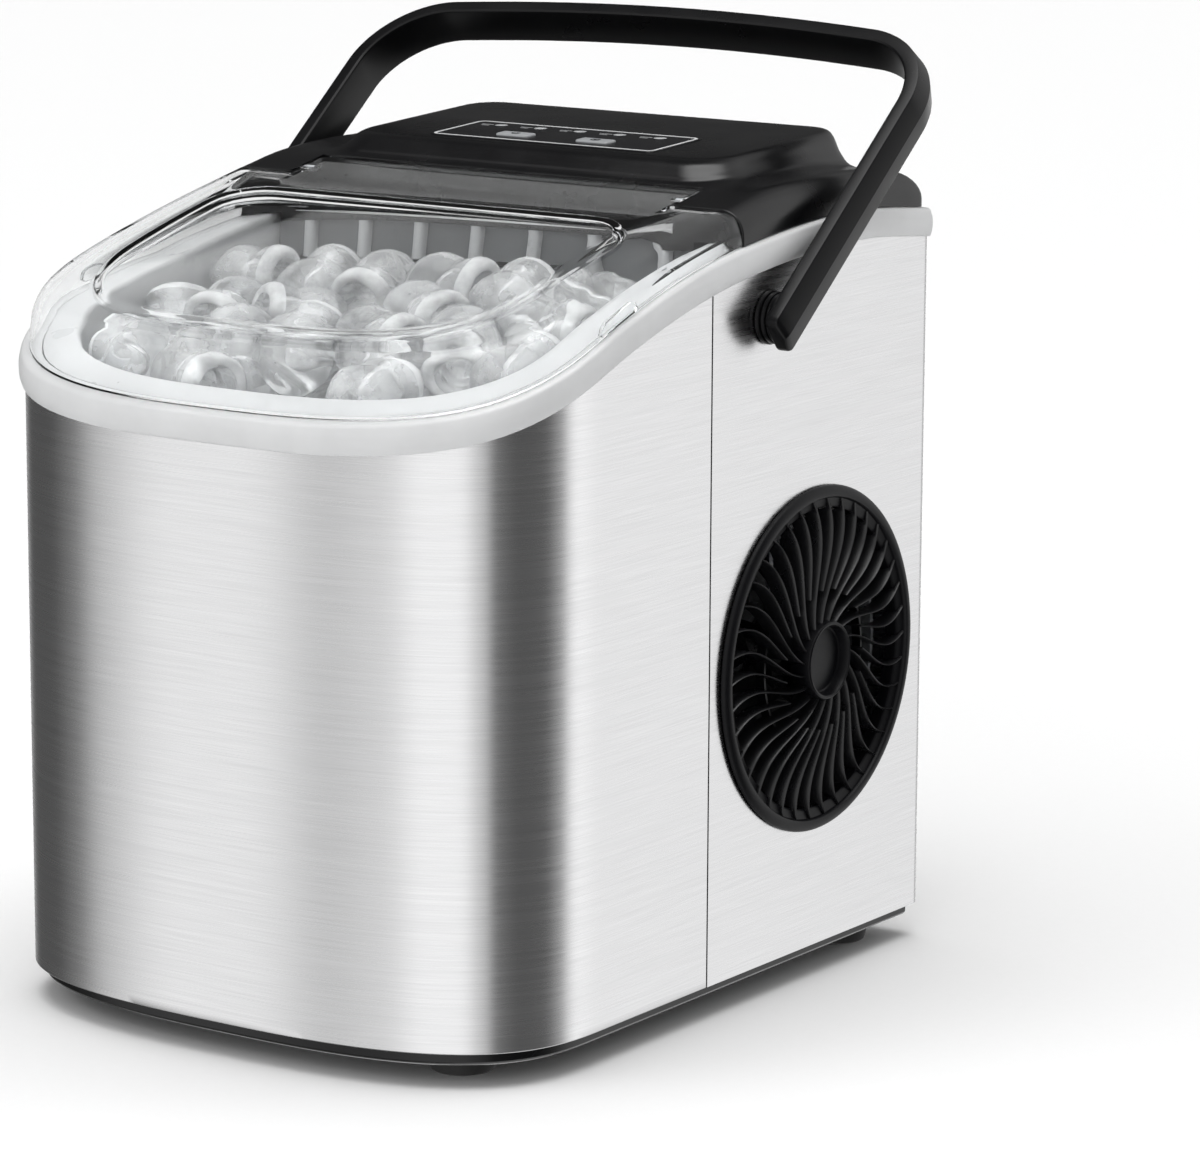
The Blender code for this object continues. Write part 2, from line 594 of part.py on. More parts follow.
def spoke(turn, mat):
    """One curved rib of the grille, domed outwards towards the hub."""
    verts = []
    stations = 4
    for k in range(stations + 1):
        t = k / stations
        radius = 12.5 + (52.5 - 12.5) * t
        bend = turn + 0.34 * math.sin(math.pi * t)
        front = 115.0 - 3.4 * t * t
        for depth in (0.0, -3.6):
            for side in (-0.9, 0.9):
                a = bend + side / radius
                verts.append((front + depth, FAN_Y + radius * math.cos(a), FAN_Z + radius * math.sin(a)))
    faces = []
    for k in range(stations):
        b = 4 * k
        faces += [(b, b + 1, b + 5, b + 4), (b + 2, b + 6, b + 7, b + 3), (b, b + 4, b + 6, b + 2),
                  (b + 1, b + 3, b + 7, b + 5)]
    last = 4 * stations
    faces += [(0, 2, 3, 1), (last, last + 1, last + 3, last + 2)]
    return build("add_spoke", verts, faces, mat)


# ---------------------------------------------------------------- top cover and controls

def make_cover(mats):
    def blend_height(share, drop=0.0):
        return lambda y: shoulder(y) + share * (platform(y) - shoulder(y)) - drop

    def above_rim(y):
        return rim_top(y) + GAP

    shape = [(108.8, 15, 133.2, 0.6, 5, above_rim), (108.8, 15, 133.2, 0.6, 5, blend_height(0, 9)),
             (107.6, 15, 132.5, 0.6, 6, blend_height(0, 4.5)), (104.3, 15, 131, 0.6, 8, blend_height(0, 1.2)),
             (99.8, 15, 129.2, 0.6, 11, blend_height(0)), (87, 35, 128.5, 16, 14, blend_height(0.03)),
             (82, 38.5, 127.8, 16, 13, blend_height(0.35)), (79.4, 42, 127, 15, 12, blend_height(0.78)),
             (77.2, 45.4, 125.8, 14, 11, blend_height(0.97)), (73.5, 49, 122.5, 12, 9, blend_height(1.0))]
    loops = [loop(block_half(half, front, rear, fc, rc), z) for half, front, rear, fc, rc, z in shape]
    cover = loft("top_cover", loops, mats["black"])

    hollow = [(106.2, 37.5, 130.6, 1, 3, lambda y: rim_top(y) - 4),
              (106.2, 37.5, 130.6, 1, 3, blend_height(0, 13)),
              (97, 38.5, 127, 4, 8, blend_height(0, 2.8)), (81, 42, 125.4, 10, 10, blend_height(0, 2.6)),
              (74, 48, 123, 10, 8, blend_height(1, 3.4))]
    tool = loft("cut_hollow", [loop(block_half(half, front, rear, fc, rc), z)
                               for half, front, rear, fc, rc, z in hollow], mats["black"])
    combine(cover, tool, 'DIFFERENCE')
    notch = box("cut_notch", (-81.2, 10, 250), (81.2, 34.6, 300), mats["black"])
    combine(cover, notch, 'DIFFERENCE')
    ceiling = extruded("add_ceiling", [(15.2, 258.6), (37.2, 258.6), (37.2, 265.6), (34.4, 265.6),
                                       (34.4, 262.4), (15.2, 262.4)], 'X', -88, 88, mats["black"])
    combine(cover, ceiling, 'UNION')

    half, front, rear = PANEL
    bore = [(0, 79), (1.9, 79), (1.9, 86.6), (0, 86.6)]
    tools = [turned("cut_pin", (0, *HINGE), 'X', [(r, side * x) for r, x in bore], mats["black"], steps=12)
             for side in (-1, 1)]
    tools.append(plate_on_platform("cut_recess", half + GAP, front - GAP, rear + GAP, 3.3, -1.0, 3.0,
                                   mats["black"]))
    combine(cover, many("cut_cover", tools), 'DIFFERENCE')
    wells = [plate_on_platform("cut_well", BUTTON[0] + GAP, BUTTON_Y - BUTTON[1] - GAP,
                               BUTTON_Y + BUTTON[1] + GAP, 1.8, -9.0, 3.0, mats["black"], x)
             for x in (-BUTTON_X, BUTTON_X)]
    wells += [plate_on_platform("cut_led", 1.8, LED_Y - 1.8, LED_Y + 1.8, 1.7, -9.0, 3.0, mats["black"],
                                LED_PITCH * (i - 2)) for i in range(5)]
    tool = many("cut_wells", wells)
    combine(cover, tool, 'DIFFERENCE')

    panel = plate_on_platform("control_panel", half, front, rear, 3.0, -0.7, 0.3, mats["gloss"])
    combine(panel, tool, 'DIFFERENCE')
    for name, x in (("button_left", -BUTTON_X), ("button_right", BUTTON_X)):
        plate_on_platform(name, BUTTON[0], BUTTON_Y - BUTTON[1], BUTTON_Y + BUTTON[1], 1.5, -5.0, 0.9,
                          mats["silver"], x, moving=True)
    for i in range(5):
        plate_on_platform("indicator_lens_%d" % (i + 1), 1.5, LED_Y - 1.5, LED_Y + 1.5, 1.4, -5.0, 0.5,
                          mats["lens"], LED_PITCH * (i - 2))
    board_y = (front + rear) / 2
    box("control_board", (-48, board_y - 20, 270.0), (48, board_y + 20, 271.6), mats["board"])
    for name, x in (("left", -BUTTON_X), ("right", BUTTON_X)):
        box("tact_switch_" + name, (x - 3, BUTTON_Y - 3, 271.9), (x + 3, BUTTON_Y + 3, 278.8), mats["grey"])


def plate_on_platform(name, half, front, rear, corner, low, high, mat, x=0.0, moving=False):
    """A rounded plate that follows the platform's slope, between two heights over it."""
    outline = block_half(half, front, rear, corner, corner, sides=1)

    def at(level):
        return [(px + x, py, pz) for px, py, pz in loop(outline, lambda y: platform(y) + level)]

    origin = (x, (front + rear) / 2, platform((front + rear) / 2)) if moving else (0.0, 0.0, 0.0)
    return loft(name, [at(low), at(high)], mat, origin=origin)


# ---------------------------------------------------------------- lid

def make_lid(mats):
    t = LID_WALL

    def side(inset, height, rear=TONGUE_REAR):
        return loop(nose_half(HALF_WIDTH - inset, rear, 1.0, NOSE_DEPTH - inset), height)

    def under_side(inset, height):
        return side(inset + t, height, TONGUE_REAR - t)

    def ridge(grow, height):
        half, depth, back, corner = RIDGE
        return loop(nose_half(half + grow, back + grow, corner + grow, depth + grow), height)

    def wall(share):
        return lambda y: rim_top(y) + 0.4 + share * (lid_crest(y) - rim_top(y) - 0.4)

    def crest(rise):
        return lambda y: lid_crest(y) + rise

    outside = [ridge(-1.5, crest(RIDGE_STEP)), ridge(0.5, crest(RIDGE_STEP * 0.6)), ridge(2.0, crest(0)),
               side(8.5, crest(0)), side(4.6, crest(-1.6)), side(2.6, crest(-5.2)), side(1.6, wall(0.3)),
               side(1.2, wall(0.0))]
    inside = [under_side(1.2, wall(0.0)), under_side(1.6, wall(0.3)), under_side(2.8, crest(-6.4)),
              under_side(4.4, crest(-3.8)), under_side(8.5, crest(-t)), ridge(-0.2, crest(-t)),
              ridge(-1.8, crest(RIDGE_STEP * 0.6 - t)), ridge(-3.6, crest(RIDGE_STEP - t))]
    origin = (0, *HINGE)
    lid = loft("lid", outside + inside, mats["clear"], origin=origin)
    cuts = [box("cut_side", (side_x, LID_REAR, 240), (side_x + 40, 50, 300), mats["clear"])
            for side_x in (-TONGUE_HALF - 40, TONGUE_HALF)]
    combine(lid, many("cut_lid_sides", cuts), 'DIFFERENCE')
    under = box("cut_under", (-100, 6, 240), (100, 50, 268.6), mats["clear"])
    combine(lid, under, 'DIFFERENCE')
    top = [(y, lid_crest(y) - 1.0) for y in (30.0, 24.0, 16.0, 9.0)]
    cheeks = [extruded("add_cheek", [(9.0, 268.8), (30.0, 268.8)] + top, 'X', x, x + 2.2, mats["clear"])
              for x in (-TONGUE_HALF + 0.1, TONGUE_HALF - 2.3)]
    combine(lid, many("add_cheeks", cheeks), 'UNION')
    holes = [turned("cut_hinge", (side_x, *HINGE), 'X', [(0, -5), (1.9, -5), (1.9, 5), (0, 5)], mats["clear"],
                    steps=12) for side_x in (-TONGUE_HALF, TONGUE_HALF)]
    combine(lid, many("cut_lid_pins", holes), 'DIFFERENCE')
    for name, sign in (("left", -1), ("right", 1)):
        low, high = sorted((sign * 76.5, sign * 86.0))
        turned("hinge_pin_" + name, (low, *HINGE), 'X',
               [(0, 0), (1.6, 0), (1.6, high - low), (0, high - low)], mats["zinc"], steps=12)


# ---------------------------------------------------------------- handle

def handle_point(x, reach, lift):
    """A point of the handle from its place across, along and square to the leaning plane."""
    c, s = math.cos(HANDLE_LEAN), math.sin(HANDLE_LEAN)
    return (x, PIVOT[0] + reach * c - lift * s, PIVOT[1] + reach * s + lift * c)


def make_handle(mats):
    centre = HANDLE_HALF - HANDLE_THICK / 2
    top = HANDLE_REACH - HANDLE_THICK / 2
    knee = centre - HANDLE_BEND
    bend = arc((knee, top - HANDLE_BOW * 0.85 - HANDLE_BEND), HANDLE_BEND, 0, 84, 8)
    half = [(centre, 0.0), (centre, 45.0)] + bend
    half += [(x, top - HANDLE_BOW * (x / 95.0) ** 2) for x in (60.0, 30.0, 0.0)]
    path = half + [(-x, s) for x, s in reversed(half[:-1])]

    inner, outer, edge = -HANDLE_THICK / 2, HANDLE_THICK / 2, HANDLE_DEPTH / 2
    section = [(inner, -edge + 0.8), (inner + 0.8, -edge), (outer - 1.3, -edge), (outer - 0.6, -edge + 0.5),
               (outer + 0.6, 0.0), (outer - 0.6, edge - 0.5), (outer - 1.3, edge), (inner + 0.8, edge),
               (inner, edge - 0.8)]
    verts, faces = [], []
    for k, (x, s) in enumerate(path):
        before, after = path[max(k - 1, 0)], path[min(k + 1, len(path) - 1)]
        along = Vector((after[0] - before[0], after[1] - before[1])).normalized()
        out = Vector((along.y, -along.x))
        for n, lift in section:
            verts.append(handle_point(x + out.x * n, s + out.y * n, lift))
    width = len(section)
    for k in range(len(path) - 1):
        for i in range(width):
            j = (i + 1) % width
            faces.append((k * width + i, k * width + j, (k + 1) * width + j, (k + 1) * width + i))
    faces += [tuple(range(width)), tuple(range((len(path) - 1) * width, len(path) * width))]
    origin = (0, *PIVOT)
    handle = build("handle", verts, faces, mats["black"], origin)

    ends, holes = [], []
    for sign in (-1, 1):
        profile = [(0, 114.3), (8.4, 114.3), (8.4, 116.6), (7.65, 117.0), (7.65, HANDLE_HALF - 1.2),
                   (7.0, HANDLE_HALF - 0.3), (0, HANDLE_HALF + 0.3)]
        ends.append(turned("add_end", (0, *PIVOT), 'X', [(r, sign * x) for r, x in profile], mats["black"],
                           steps=24))
        hole = [(0, 110), (3.3, 110), (3.3, 118.4), (0, 118.4)]
        holes.append(turned("cut_end", (0, *PIVOT), 'X', [(r, sign * x) for r, x in hole], mats["black"],
                            steps=12))
    combine(handle, many("add_ends", ends), 'UNION')
    combine(handle, many("cut_ends", holes), 'DIFFERENCE')
    for name, sign in (("left", -1), ("right", 1)):
        boss = [(3.3, 110.3), (8.8, 110.3), (8.8, 113.4), (8.2, 114.0), (3.3, 114.0)]
        turned("pivot_boss_" + name, (0, *PIVOT), 'X', [(r, sign * x) for r, x in boss], mats["black"], steps=24)
        pin = [(0, 103.0), (5.0, 103.0), (5.0, 106.5), (3.0, 106.5), (3.0, 118.0), (0, 118.0)]
        turned("pivot_pin_" + name, (0, *PIVOT), 'X', [(r, sign * x) for r, x in pin], mats["zinc"],
               steps=12)


# ---------------------------------------------------------------- assembly

def main():
    for obj in list(bpy.data.objects):
        bpy.data.objects.remove(obj)
    mats = finishes()
    make_base(mats)
    make_shells(mats)
    make_rim(mats)
    make_rear_fittings(mats)
    make_tank(mats)
    make_ice_maker(mats)
    make_cooling(mats)
    make_water(mats)
    make_fan(mats)
    make_cover(mats)
    make_lid(mats)
    make_handle(mats)
    for obj in bpy.data.objects:
        obj.location.y += FRAME_SHIFT * MM


main()
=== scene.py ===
"""Looks of the portable ice maker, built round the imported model.

Lengths are in millimetres in the housing's own frame: x to the fan side, y to the rear from a line a
little behind the seam, z up. place() turns them into the model's metres, and the shift between the
two frames comes from the lid's hinge joint.
"""
import json
import random
from math import cos, pi, radians, sin

import bmesh
import bpy
import numpy as np
from mathutils import Matrix, Vector


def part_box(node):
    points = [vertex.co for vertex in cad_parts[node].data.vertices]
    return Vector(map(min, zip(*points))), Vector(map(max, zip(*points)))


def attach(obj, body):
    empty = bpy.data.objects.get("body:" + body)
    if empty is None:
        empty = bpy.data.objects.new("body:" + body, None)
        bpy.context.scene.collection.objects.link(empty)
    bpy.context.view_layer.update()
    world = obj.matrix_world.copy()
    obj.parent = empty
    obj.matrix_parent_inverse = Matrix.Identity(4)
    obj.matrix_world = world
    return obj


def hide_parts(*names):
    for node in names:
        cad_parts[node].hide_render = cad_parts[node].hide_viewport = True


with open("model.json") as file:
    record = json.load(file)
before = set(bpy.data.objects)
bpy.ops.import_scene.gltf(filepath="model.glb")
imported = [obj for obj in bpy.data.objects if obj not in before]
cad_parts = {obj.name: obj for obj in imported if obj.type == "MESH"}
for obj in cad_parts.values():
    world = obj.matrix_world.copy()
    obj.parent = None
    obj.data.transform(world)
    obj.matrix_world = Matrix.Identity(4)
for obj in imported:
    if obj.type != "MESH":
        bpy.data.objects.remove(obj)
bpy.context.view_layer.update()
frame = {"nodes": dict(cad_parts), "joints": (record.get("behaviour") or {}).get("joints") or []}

MM = 0.001
EDGE = 32.0                          # degrees: faces that meet at more than this keep a sharp edge
SHELL_EDGE = 40                      # the same for shells, and for cut or joined pieces
HINGE = (24.0, 273.0)                # y, z of the lid's hinge line
PIVOT = (29.0, 237.0)                # y, z of the handle's pivots
HINGE_WORLD = next(j for j in frame["joints"] if j["name"] == "lid_hinge")["pos_m"]
SHIFT = HINGE_WORLD[1] / MM - HINGE[0]

# Housing outline, and its side curves as (y, z)
HALF_WIDTH = 110.0
NOSE_CENTRE = -67.7                  # y where the rounded front starts
NOSE_DEPTH = 66.65
NOSE_POWER = 2.8                     # the rounded front is a superellipse of this power
SIDE_STEPS, NOSE_STEPS = 30, 36
REAR = 134.35
SEAM = -5.0
STEEL = 0.8                          # the sheet's thickness
STEEL_BOTTOM = 12.0
STEEL_LAP = 3.5                      # how far the sheet stands up inside the rim
RIM_SIDE = [(-134.4, 206.3), (-115.0, 212.8), (-90.0, 222.3), (-50.0, 236.8),
            (-5.0, 248.5), (45.0, 255.0), (90.0, 256.6), (134.4, 252.6)]
LID_SIDE = [(-127.0, 238.3), (-110.0, 242.0), (-92.0, 247.5), (-70.0, 254.3), (-47.0, 260.5),
            (-20.0, 266.8), (15.0, 274.0), (33.0, 277.2)]
SHOULDER_SIDE = [(15.0, 274.0), (40.0, 278.2), (75.0, 279.6), (105.0, 278.4), (134.0, 274.5)]
RIM_HEIGHT = 10.0

# Control platform
PLATFORM_FRONT = 46.0
PLATFORM_Z = 285.3                   # at its front edge
PLATFORM_SLOPE = 0.05
PANEL = (47.6, 51.5, 84.0)           # half width, front and rear
BUTTON_X = 17.0
BUTTON_Y = 62.0
LED_Y = 77.0
LED_COUNT = 5
LED_PITCH = 17.0

# Lid
LID_WALL = 2.2
LID_REAR = 14.3
TONGUE_HALF = 80.0                   # the narrow part that reaches the hinge
TONGUE_REAR = 32.3
RIDGE = (85.0, 49.3, -9.5, 18.0)     # raised window: half width, depth of its nose, rear, corner radius
RIDGE_STEP = 3.2

# Tank and ice
TANK_INSET = 18.0
TANK_BACK = 76.0
WELL_BACK = 8.0
SHOVEL_AXIS = (23.0, 240.0)          # y, z
TRAY_AXIS = (42.0, 202.5)            # y, z
CEILING = 258.6                      # underside of the cover over the bay
COMB_COUNT = 7
COMB_PITCH = 25.0
BASKET_FLOOR = 65.5
ICE_COUNT = 192                      # pieces dropped; those that sink into another are left out
LIFT_ROOM = 11.0                     # space that the heap leaves under the lid

# Fan grille
FAN = (61.7, 114.2)                  # y, z of its centre
RIBS = 38
RIB_ROOT = 13.0                      # radius at the hub
RIB_REACH = 55.9
RIB_SWEEP, RIB_SWAY = 0.46, 0.12     # radians that a rib's line turns through and bows by
RIB_CREST, RIB_DROP = 114.4, 2.7     # x of its front edge at the hub, and how far it falls outwards
RIB_DEPTH, RIB_BACK = 6.5, 106.4
RIM_SEAT = (52.5, 110.8)             # beyond this radius a rib stands on the ring, at this x
RIB_HALF = 0.42

# Handle
HANDLE_LEAN = radians(38.4)
HANDLE_HALF = 121.5
HANDLE_THICK = 6.6
HANDLE_DEPTH = 15.3
HANDLE_REACH = 137.0                 # from the pivots to the top of the bail
HANDLE_BOW = 5.0
HANDLE_BEND = 32.0                   # radius at the shoulders


# ---- meshes

FINISHES = {}                        # materials by short name, filled by make_finishes()


def place(point):
    x, y, z = point
    return Vector((x, y + SHIFT, z)) * MM


def finish_mesh(mesh, angle):
    """Outward faces, smooth except where they meet at more than the given angle."""
    work = bmesh.new()
    work.from_mesh(mesh)
    bmesh.ops.remove_doubles(work, verts=work.verts, dist=0.000004)
    bmesh.ops.recalc_face_normals(work, faces=work.faces)
    work.to_mesh(mesh)
    work.free()
    mesh.shade_smooth()
    mesh.set_sharp_from_angle(angle=radians(angle))


def solid(name, verts, faces, finish, angle=EDGE):
    mesh = bpy.data.meshes.new(name)
    mesh.from_pydata([place(v) for v in verts], [], faces)
    finish_mesh(mesh, angle)
    obj = bpy.data.objects.new(name, mesh)
    bpy.context.scene.collection.objects.link(obj)
    mesh.materials.append(FINISHES[finish])
    return obj


def fit(obj, body, nodes=()):
    """Rides the piece on a body and hides the CAD nodes it stands for."""
    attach(obj, body)
    if nodes:
        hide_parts(*nodes)
    return obj


def join(name, pieces):
    """One mesh from several pieces that do not touch."""
    bpy.ops.object.select_all(action='DESELECT')
    for piece in pieces:
        piece.select_set(True)
    bpy.context.view_layer.objects.active = pieces[0]
    bpy.ops.object.join()
    pieces[0].name = name
    pieces[0].data.name = name
    return pieces[0]


def combine(target, tool, operation='DIFFERENCE', angle=SHELL_EDGE):
    """Boolean with its result applied; the tool is removed."""
    change = target.modifiers.new("combine", 'BOOLEAN')
    change.operation = operation
    change.object = tool
    change.solver = 'EXACT'
    bpy.context.view_layer.update()
    graph = bpy.context.evaluated_depsgraph_get()
    result = bpy.data.meshes.new_from_object(target.evaluated_get(graph))
    target.modifiers.clear()
    target.data = result
    bpy.data.objects.remove(tool)
    finish_mesh(result, angle)


def skin(count, width, closed=False):
    """Quads between neighbouring rings of width points each, and from the last to the first if closed."""
    faces = []
    for k in range(count if closed else count - 1):
        m = (k + 1) % count
        for i in range(width):
            j = (i + 1) % width
            faces.append((k * width + i, k * width + j, m * width + j, m * width + i))
    return faces


def caps(count, width):
    return [tuple(range(width)), tuple(range((count - 1) * width, count * width))]


def wrap(rings, steps):
    """Quads between neighbouring rings of point numbers; a ring of one point is a tip."""
    faces = []
    for one, two in zip(rings, rings[1:]):
        for i in range(steps):
            j = (i + 1) % steps
            quad = (one[i % len(one)], one[j % len(one)], two[j % len(two)], two[i % len(two)])
            faces.append(tuple(dict.fromkeys(quad)))
    return faces


# ---- curves

def smooth_height(points, y):
    """Height at y on a smooth curve through (y, z) points."""
    if y <= points[0][0]:
        return points[0][1]
    if y >= points[-1][0]:
        return points[-1][1]

    def slope(i):
        before, after = points[max(i - 1, 0)], points[min(i + 1, len(points) - 1)]
        return (after[1] - before[1]) / (after[0] - before[0])

    i = max(k for k in range(len(points) - 1) if points[k][0] <= y)
    (y0, z0), (y1, z1) = points[i], points[i + 1]
    span = y1 - y0
    t = (y - y0) / span
    return ((2 * t ** 3 - 3 * t ** 2 + 1) * z0 + (t ** 3 - 2 * t ** 2 + t) * span * slope(i)
            + (3 * t ** 2 - 2 * t ** 3) * z1 + (t ** 3 - t ** 2) * span * slope(i + 1))


def rim_bottom(y):
    return smooth_height(RIM_SIDE, y)


def rim_top(y):
    return rim_bottom(y) + RIM_HEIGHT


def lid_crest(y):
    return smooth_height(LID_SIDE, y)


def shoulder(y):
    return smooth_height(SHOULDER_SIDE, y)


def platform(y):
    return PLATFORM_Z + PLATFORM_SLOPE * (y - PLATFORM_FRONT)


def arc(centre, radius, start, end, steps):
    """Points on an arc between two angles in degrees."""
    turns = [radians(start + (end - start) * i / steps) for i in range(steps + 1)]
    return [(centre[0] + radius * cos(a), centre[1] + radius * sin(a)) for a in turns]


def nose_half(half, rear, corner, depth):
    """Fan-side half of the housing's outline, from the rear edge to the front of the nose."""
    points = arc((half - corner, rear - corner), corner, 90, 0, 6)
    start = rear - corner
    points += [(half, start + (NOSE_CENTRE - start) * i / SIDE_STEPS) for i in range(1, SIDE_STEPS)]
    for i in range(NOSE_STEPS + 1):
        turn = pi / 2 * i / NOSE_STEPS
        reach = (abs(cos(turn) / half) ** NOSE_POWER
                 + abs(sin(turn) / depth) ** NOSE_POWER) ** (-1 / NOSE_POWER)
        points.append((reach * cos(turn), NOSE_CENTRE - reach * sin(turn)))
    points[-1] = (0.0, NOSE_CENTRE - depth)
    return points


def housing_half(inset):
    return nose_half(HALF_WIDTH - inset, REAR - inset, max(4.0 - inset, 0.6), NOSE_DEPTH - inset)


def well_ring(inset, back, height):
    """Outline of a tank or basket wall inside the housing."""
    return loop(nose_half(HALF_WIDTH - inset, back, 8.0, NOSE_DEPTH - inset), height)


def block_half(half, front, rear, front_corner, rear_corner, sides=16):
    """Fan-side half of a rounded rectangle, from its rear to its front."""
    points = arc((half - rear_corner, rear - rear_corner), rear_corner, 90, 0, 9)
    start, end = rear - rear_corner, front + front_corner
    points += [(half, start + (end - start) * i / sides) for i in range(1, sides)]
    return points + arc((half - front_corner, front + front_corner), front_corner, 0, -90, 9)


def loop(half, height):
    """A half outline and its mirror image, at one height or at a height for each y."""
    whole = half + [(-x, y) for x, y in reversed(half) if x > 0.001]
    return [(x, y, height(y) if callable(height) else height) for x, y in whole]


def loft(name, loops, finish, closed=False, angle=EDGE):
    """A skin over loops, with rungs across the two end loops unless it closes on itself."""
    count = len(loops[0])
    verts = [point for one in loops for point in one]
    faces = skin(len(loops), count, closed)
    if not closed:
        for base in (0, (len(loops) - 1) * count):
            for i in range((count - 1) // 2):
                rung = (base + i, base + i + 1, base + count - 2 - i, base + count - 1 - i)
                faces.append(tuple(dict.fromkeys(rung)))
    return solid(name, verts, faces, finish, angle)


def box(name, low, high, finish):
    (x0, y0, z0), (x1, y1, z1) = low, high
    verts = [(x, y, z) for z in (z0, z1) for y in (y0, y1) for x in (x0, x1)]
    faces = [(0, 2, 3, 1), (4, 5, 7, 6), (0, 1, 5, 4), (2, 6, 7, 3), (0, 4, 6, 2), (1, 3, 7, 5)]
    return solid(name, verts, faces, finish)


def revolve(profile, steps):
    """Points of a round body about the third axis, and the point numbers of its rings."""
    points, rings = [], []
    for radius, along in profile:
        ring = []
        for i in range(1 if radius == 0 else steps):
            a = 2 * pi * i / steps
            ring.append(len(points))
            points.append((radius * cos(a), radius * sin(a), along))
        rings.append(ring)
    return points, rings


def turned(name, centre, axis, profile, finish, steps=48, angle=EDGE):
    """A round body from (radius, place along the axis) points. A profile that starts at radius zero
    ends there too; any other is closed into a ring."""
    points, rings = revolve(profile, steps)
    order = {'X': (2, 0, 1), 'Y': (0, 2, 1), 'Z': (0, 1, 2)}[axis]
    verts = [[c + point[k] for c, k in zip(centre, order)] for point in points]
    if profile[0][0] > 0:
        rings.append(rings[0])
    return solid(name, verts, wrap(rings, steps), finish, angle)


def extruded(name, outline, axis, low, high, finish):
    """A flat outline drawn out along the X or the Z axis."""
    count = len(outline)
    verts = [(level, u, v) if axis == 'X' else (u, v, level) for level in (low, high) for u, v in outline]
    return solid(name, verts, skin(2, count) + caps(2, count), finish)


def rod(name, path, radius, finish, closed=False):
    """A thin six-sided wire along a path of points."""
    steps = 6
    points = [Vector(p) for p in path]
    verts = []
    last = len(points) - 1
    for k, point in enumerate(points):
        before = points[k - 1] if k or closed else point
        after = points[(k + 1) % len(points)] if k < last or closed else point
        along = (after - before).normalized()
        side = along.cross(Vector((0, 0, 1)))
        if side.length < 0.05:
            side = along.cross(Vector((0, 1, 0)))
        side.normalize()
        lift = side.cross(along)
        for i in range(steps):
            a = 2 * pi * i / steps
            verts.append(tuple(point + (side * cos(a) + lift * sin(a)) * radius))
    faces = skin(len(points), steps, closed)
    if not closed:
        faces += caps(len(points), steps)
    return solid(name, verts, faces, finish, 60)


# ---- materials

MIX_FACTOR, MIX_A, MIX_B, MIX_RESULT = 0, 6, 7, 2     # sockets of a Mix node set to colours


def set_up(node, **values):
    """Sets a node's sockets, named with an underscore for each space, or its settings."""
    for key, value in values.items():
        socket = key.replace("_", " ")
        if socket in node.inputs:
            node.inputs[socket].default_value = value
        else:
            setattr(node, key, value)
    return node


def add_node(tree, kind, **values):
    return set_up(tree.nodes.new(kind), **values)


def grey(level):
    return (level, level, level, 1.0)


class Finish:
    """A Principled material whose detail comes from procedural nodes."""

    def __init__(self, name, colour, roughness, **sockets):
        self.mat = bpy.data.materials.new(name)
        self.mat.use_nodes = True
        self.tree = self.mat.node_tree
        self.link = self.tree.links.new
        self.shader = self.tree.nodes["Principled BSDF"]
        self.colour = colour
        self.roughness = roughness
        set_up(self.shader, Base_Color=(*colour, 1.0), Roughness=roughness, **sockets)

    def node(self, kind, **values):
        return add_node(self.tree, kind, **values)

    def noise(self, scale, stretch=(1.0, 1.0, 1.0), detail=3.0, rough=0.55):
        """Noise over the object's own metres; scale counts its features in a metre."""
        coords = self.node("ShaderNodeTexCoord")
        mapping = self.node("ShaderNodeMapping", Scale=[scale * s for s in stretch])
        texture = self.node("ShaderNodeTexNoise", Scale=1.0, Detail=detail, Roughness=rough)
        self.link(coords.outputs["Object"], mapping.inputs["Vector"])
        self.link(mapping.outputs["Vector"], texture.inputs["Vector"])
        return texture.outputs["Fac"]

    def spread(self, source, low, high):
        """Stretches the middle of a noise over a range."""
        span = self.node("ShaderNodeMapRange", From_Min=0.3, From_Max=0.7, To_Min=low, To_Max=high)
        self.link(source, span.inputs["Value"])
        return span.outputs["Result"]

    def tint(self, source, amount):
        """Colour that wanders a little lighter and darker with a noise."""
        mix = self.node("ShaderNodeMix", data_type='RGBA')
        mix.inputs[MIX_A].default_value = (*[c * (1 - amount) for c in self.colour], 1.0)
        mix.inputs[MIX_B].default_value = (*[min(1.0, c * (1 + amount)) for c in self.colour], 1.0)
        self.link(self.spread(source, 0.0, 1.0), mix.inputs[MIX_FACTOR])
        self.link(mix.outputs[MIX_RESULT], self.shader.inputs["Base Color"])

    def matt(self, source, amount):
        """Roughness that varies with a noise."""
        low, high = max(0.0, self.roughness - amount), self.roughness + amount
        self.link(self.spread(source, low, high), self.shader.inputs["Roughness"])

    def bump(self, source, depth, strength):
        """Relief of the given depth in millimetres."""
        made = self.node("ShaderNodeBump", Strength=strength, Distance=depth * MM)
        self.link(source, made.inputs["Height"])
        self.link(made.outputs["Normal"], self.shader.inputs["Normal"])


def brushed(name, colour, roughness):
    """Hairlines that run round the housing; the glare stretches up and down across them."""
    made = Finish(name, colour, roughness, Metallic=1.0, Anisotropic=0.75, Anisotropic_Rotation=0.25)
    tangent = made.node("ShaderNodeTangent", direction_type='RADIAL', axis='Z')
    made.link(tangent.outputs["Tangent"], made.shader.inputs["Tangent"])
    level = (0.012, 0.012, 1.0)
    hairs = made.noise(2400.0, level, detail=2.0, rough=0.7)
    strokes = made.noise(650.0, level)
    made.tint(hairs, 0.05)
    made.matt(strokes, 0.045)
    made.bump(hairs, 0.004, 0.35)
    return made.mat


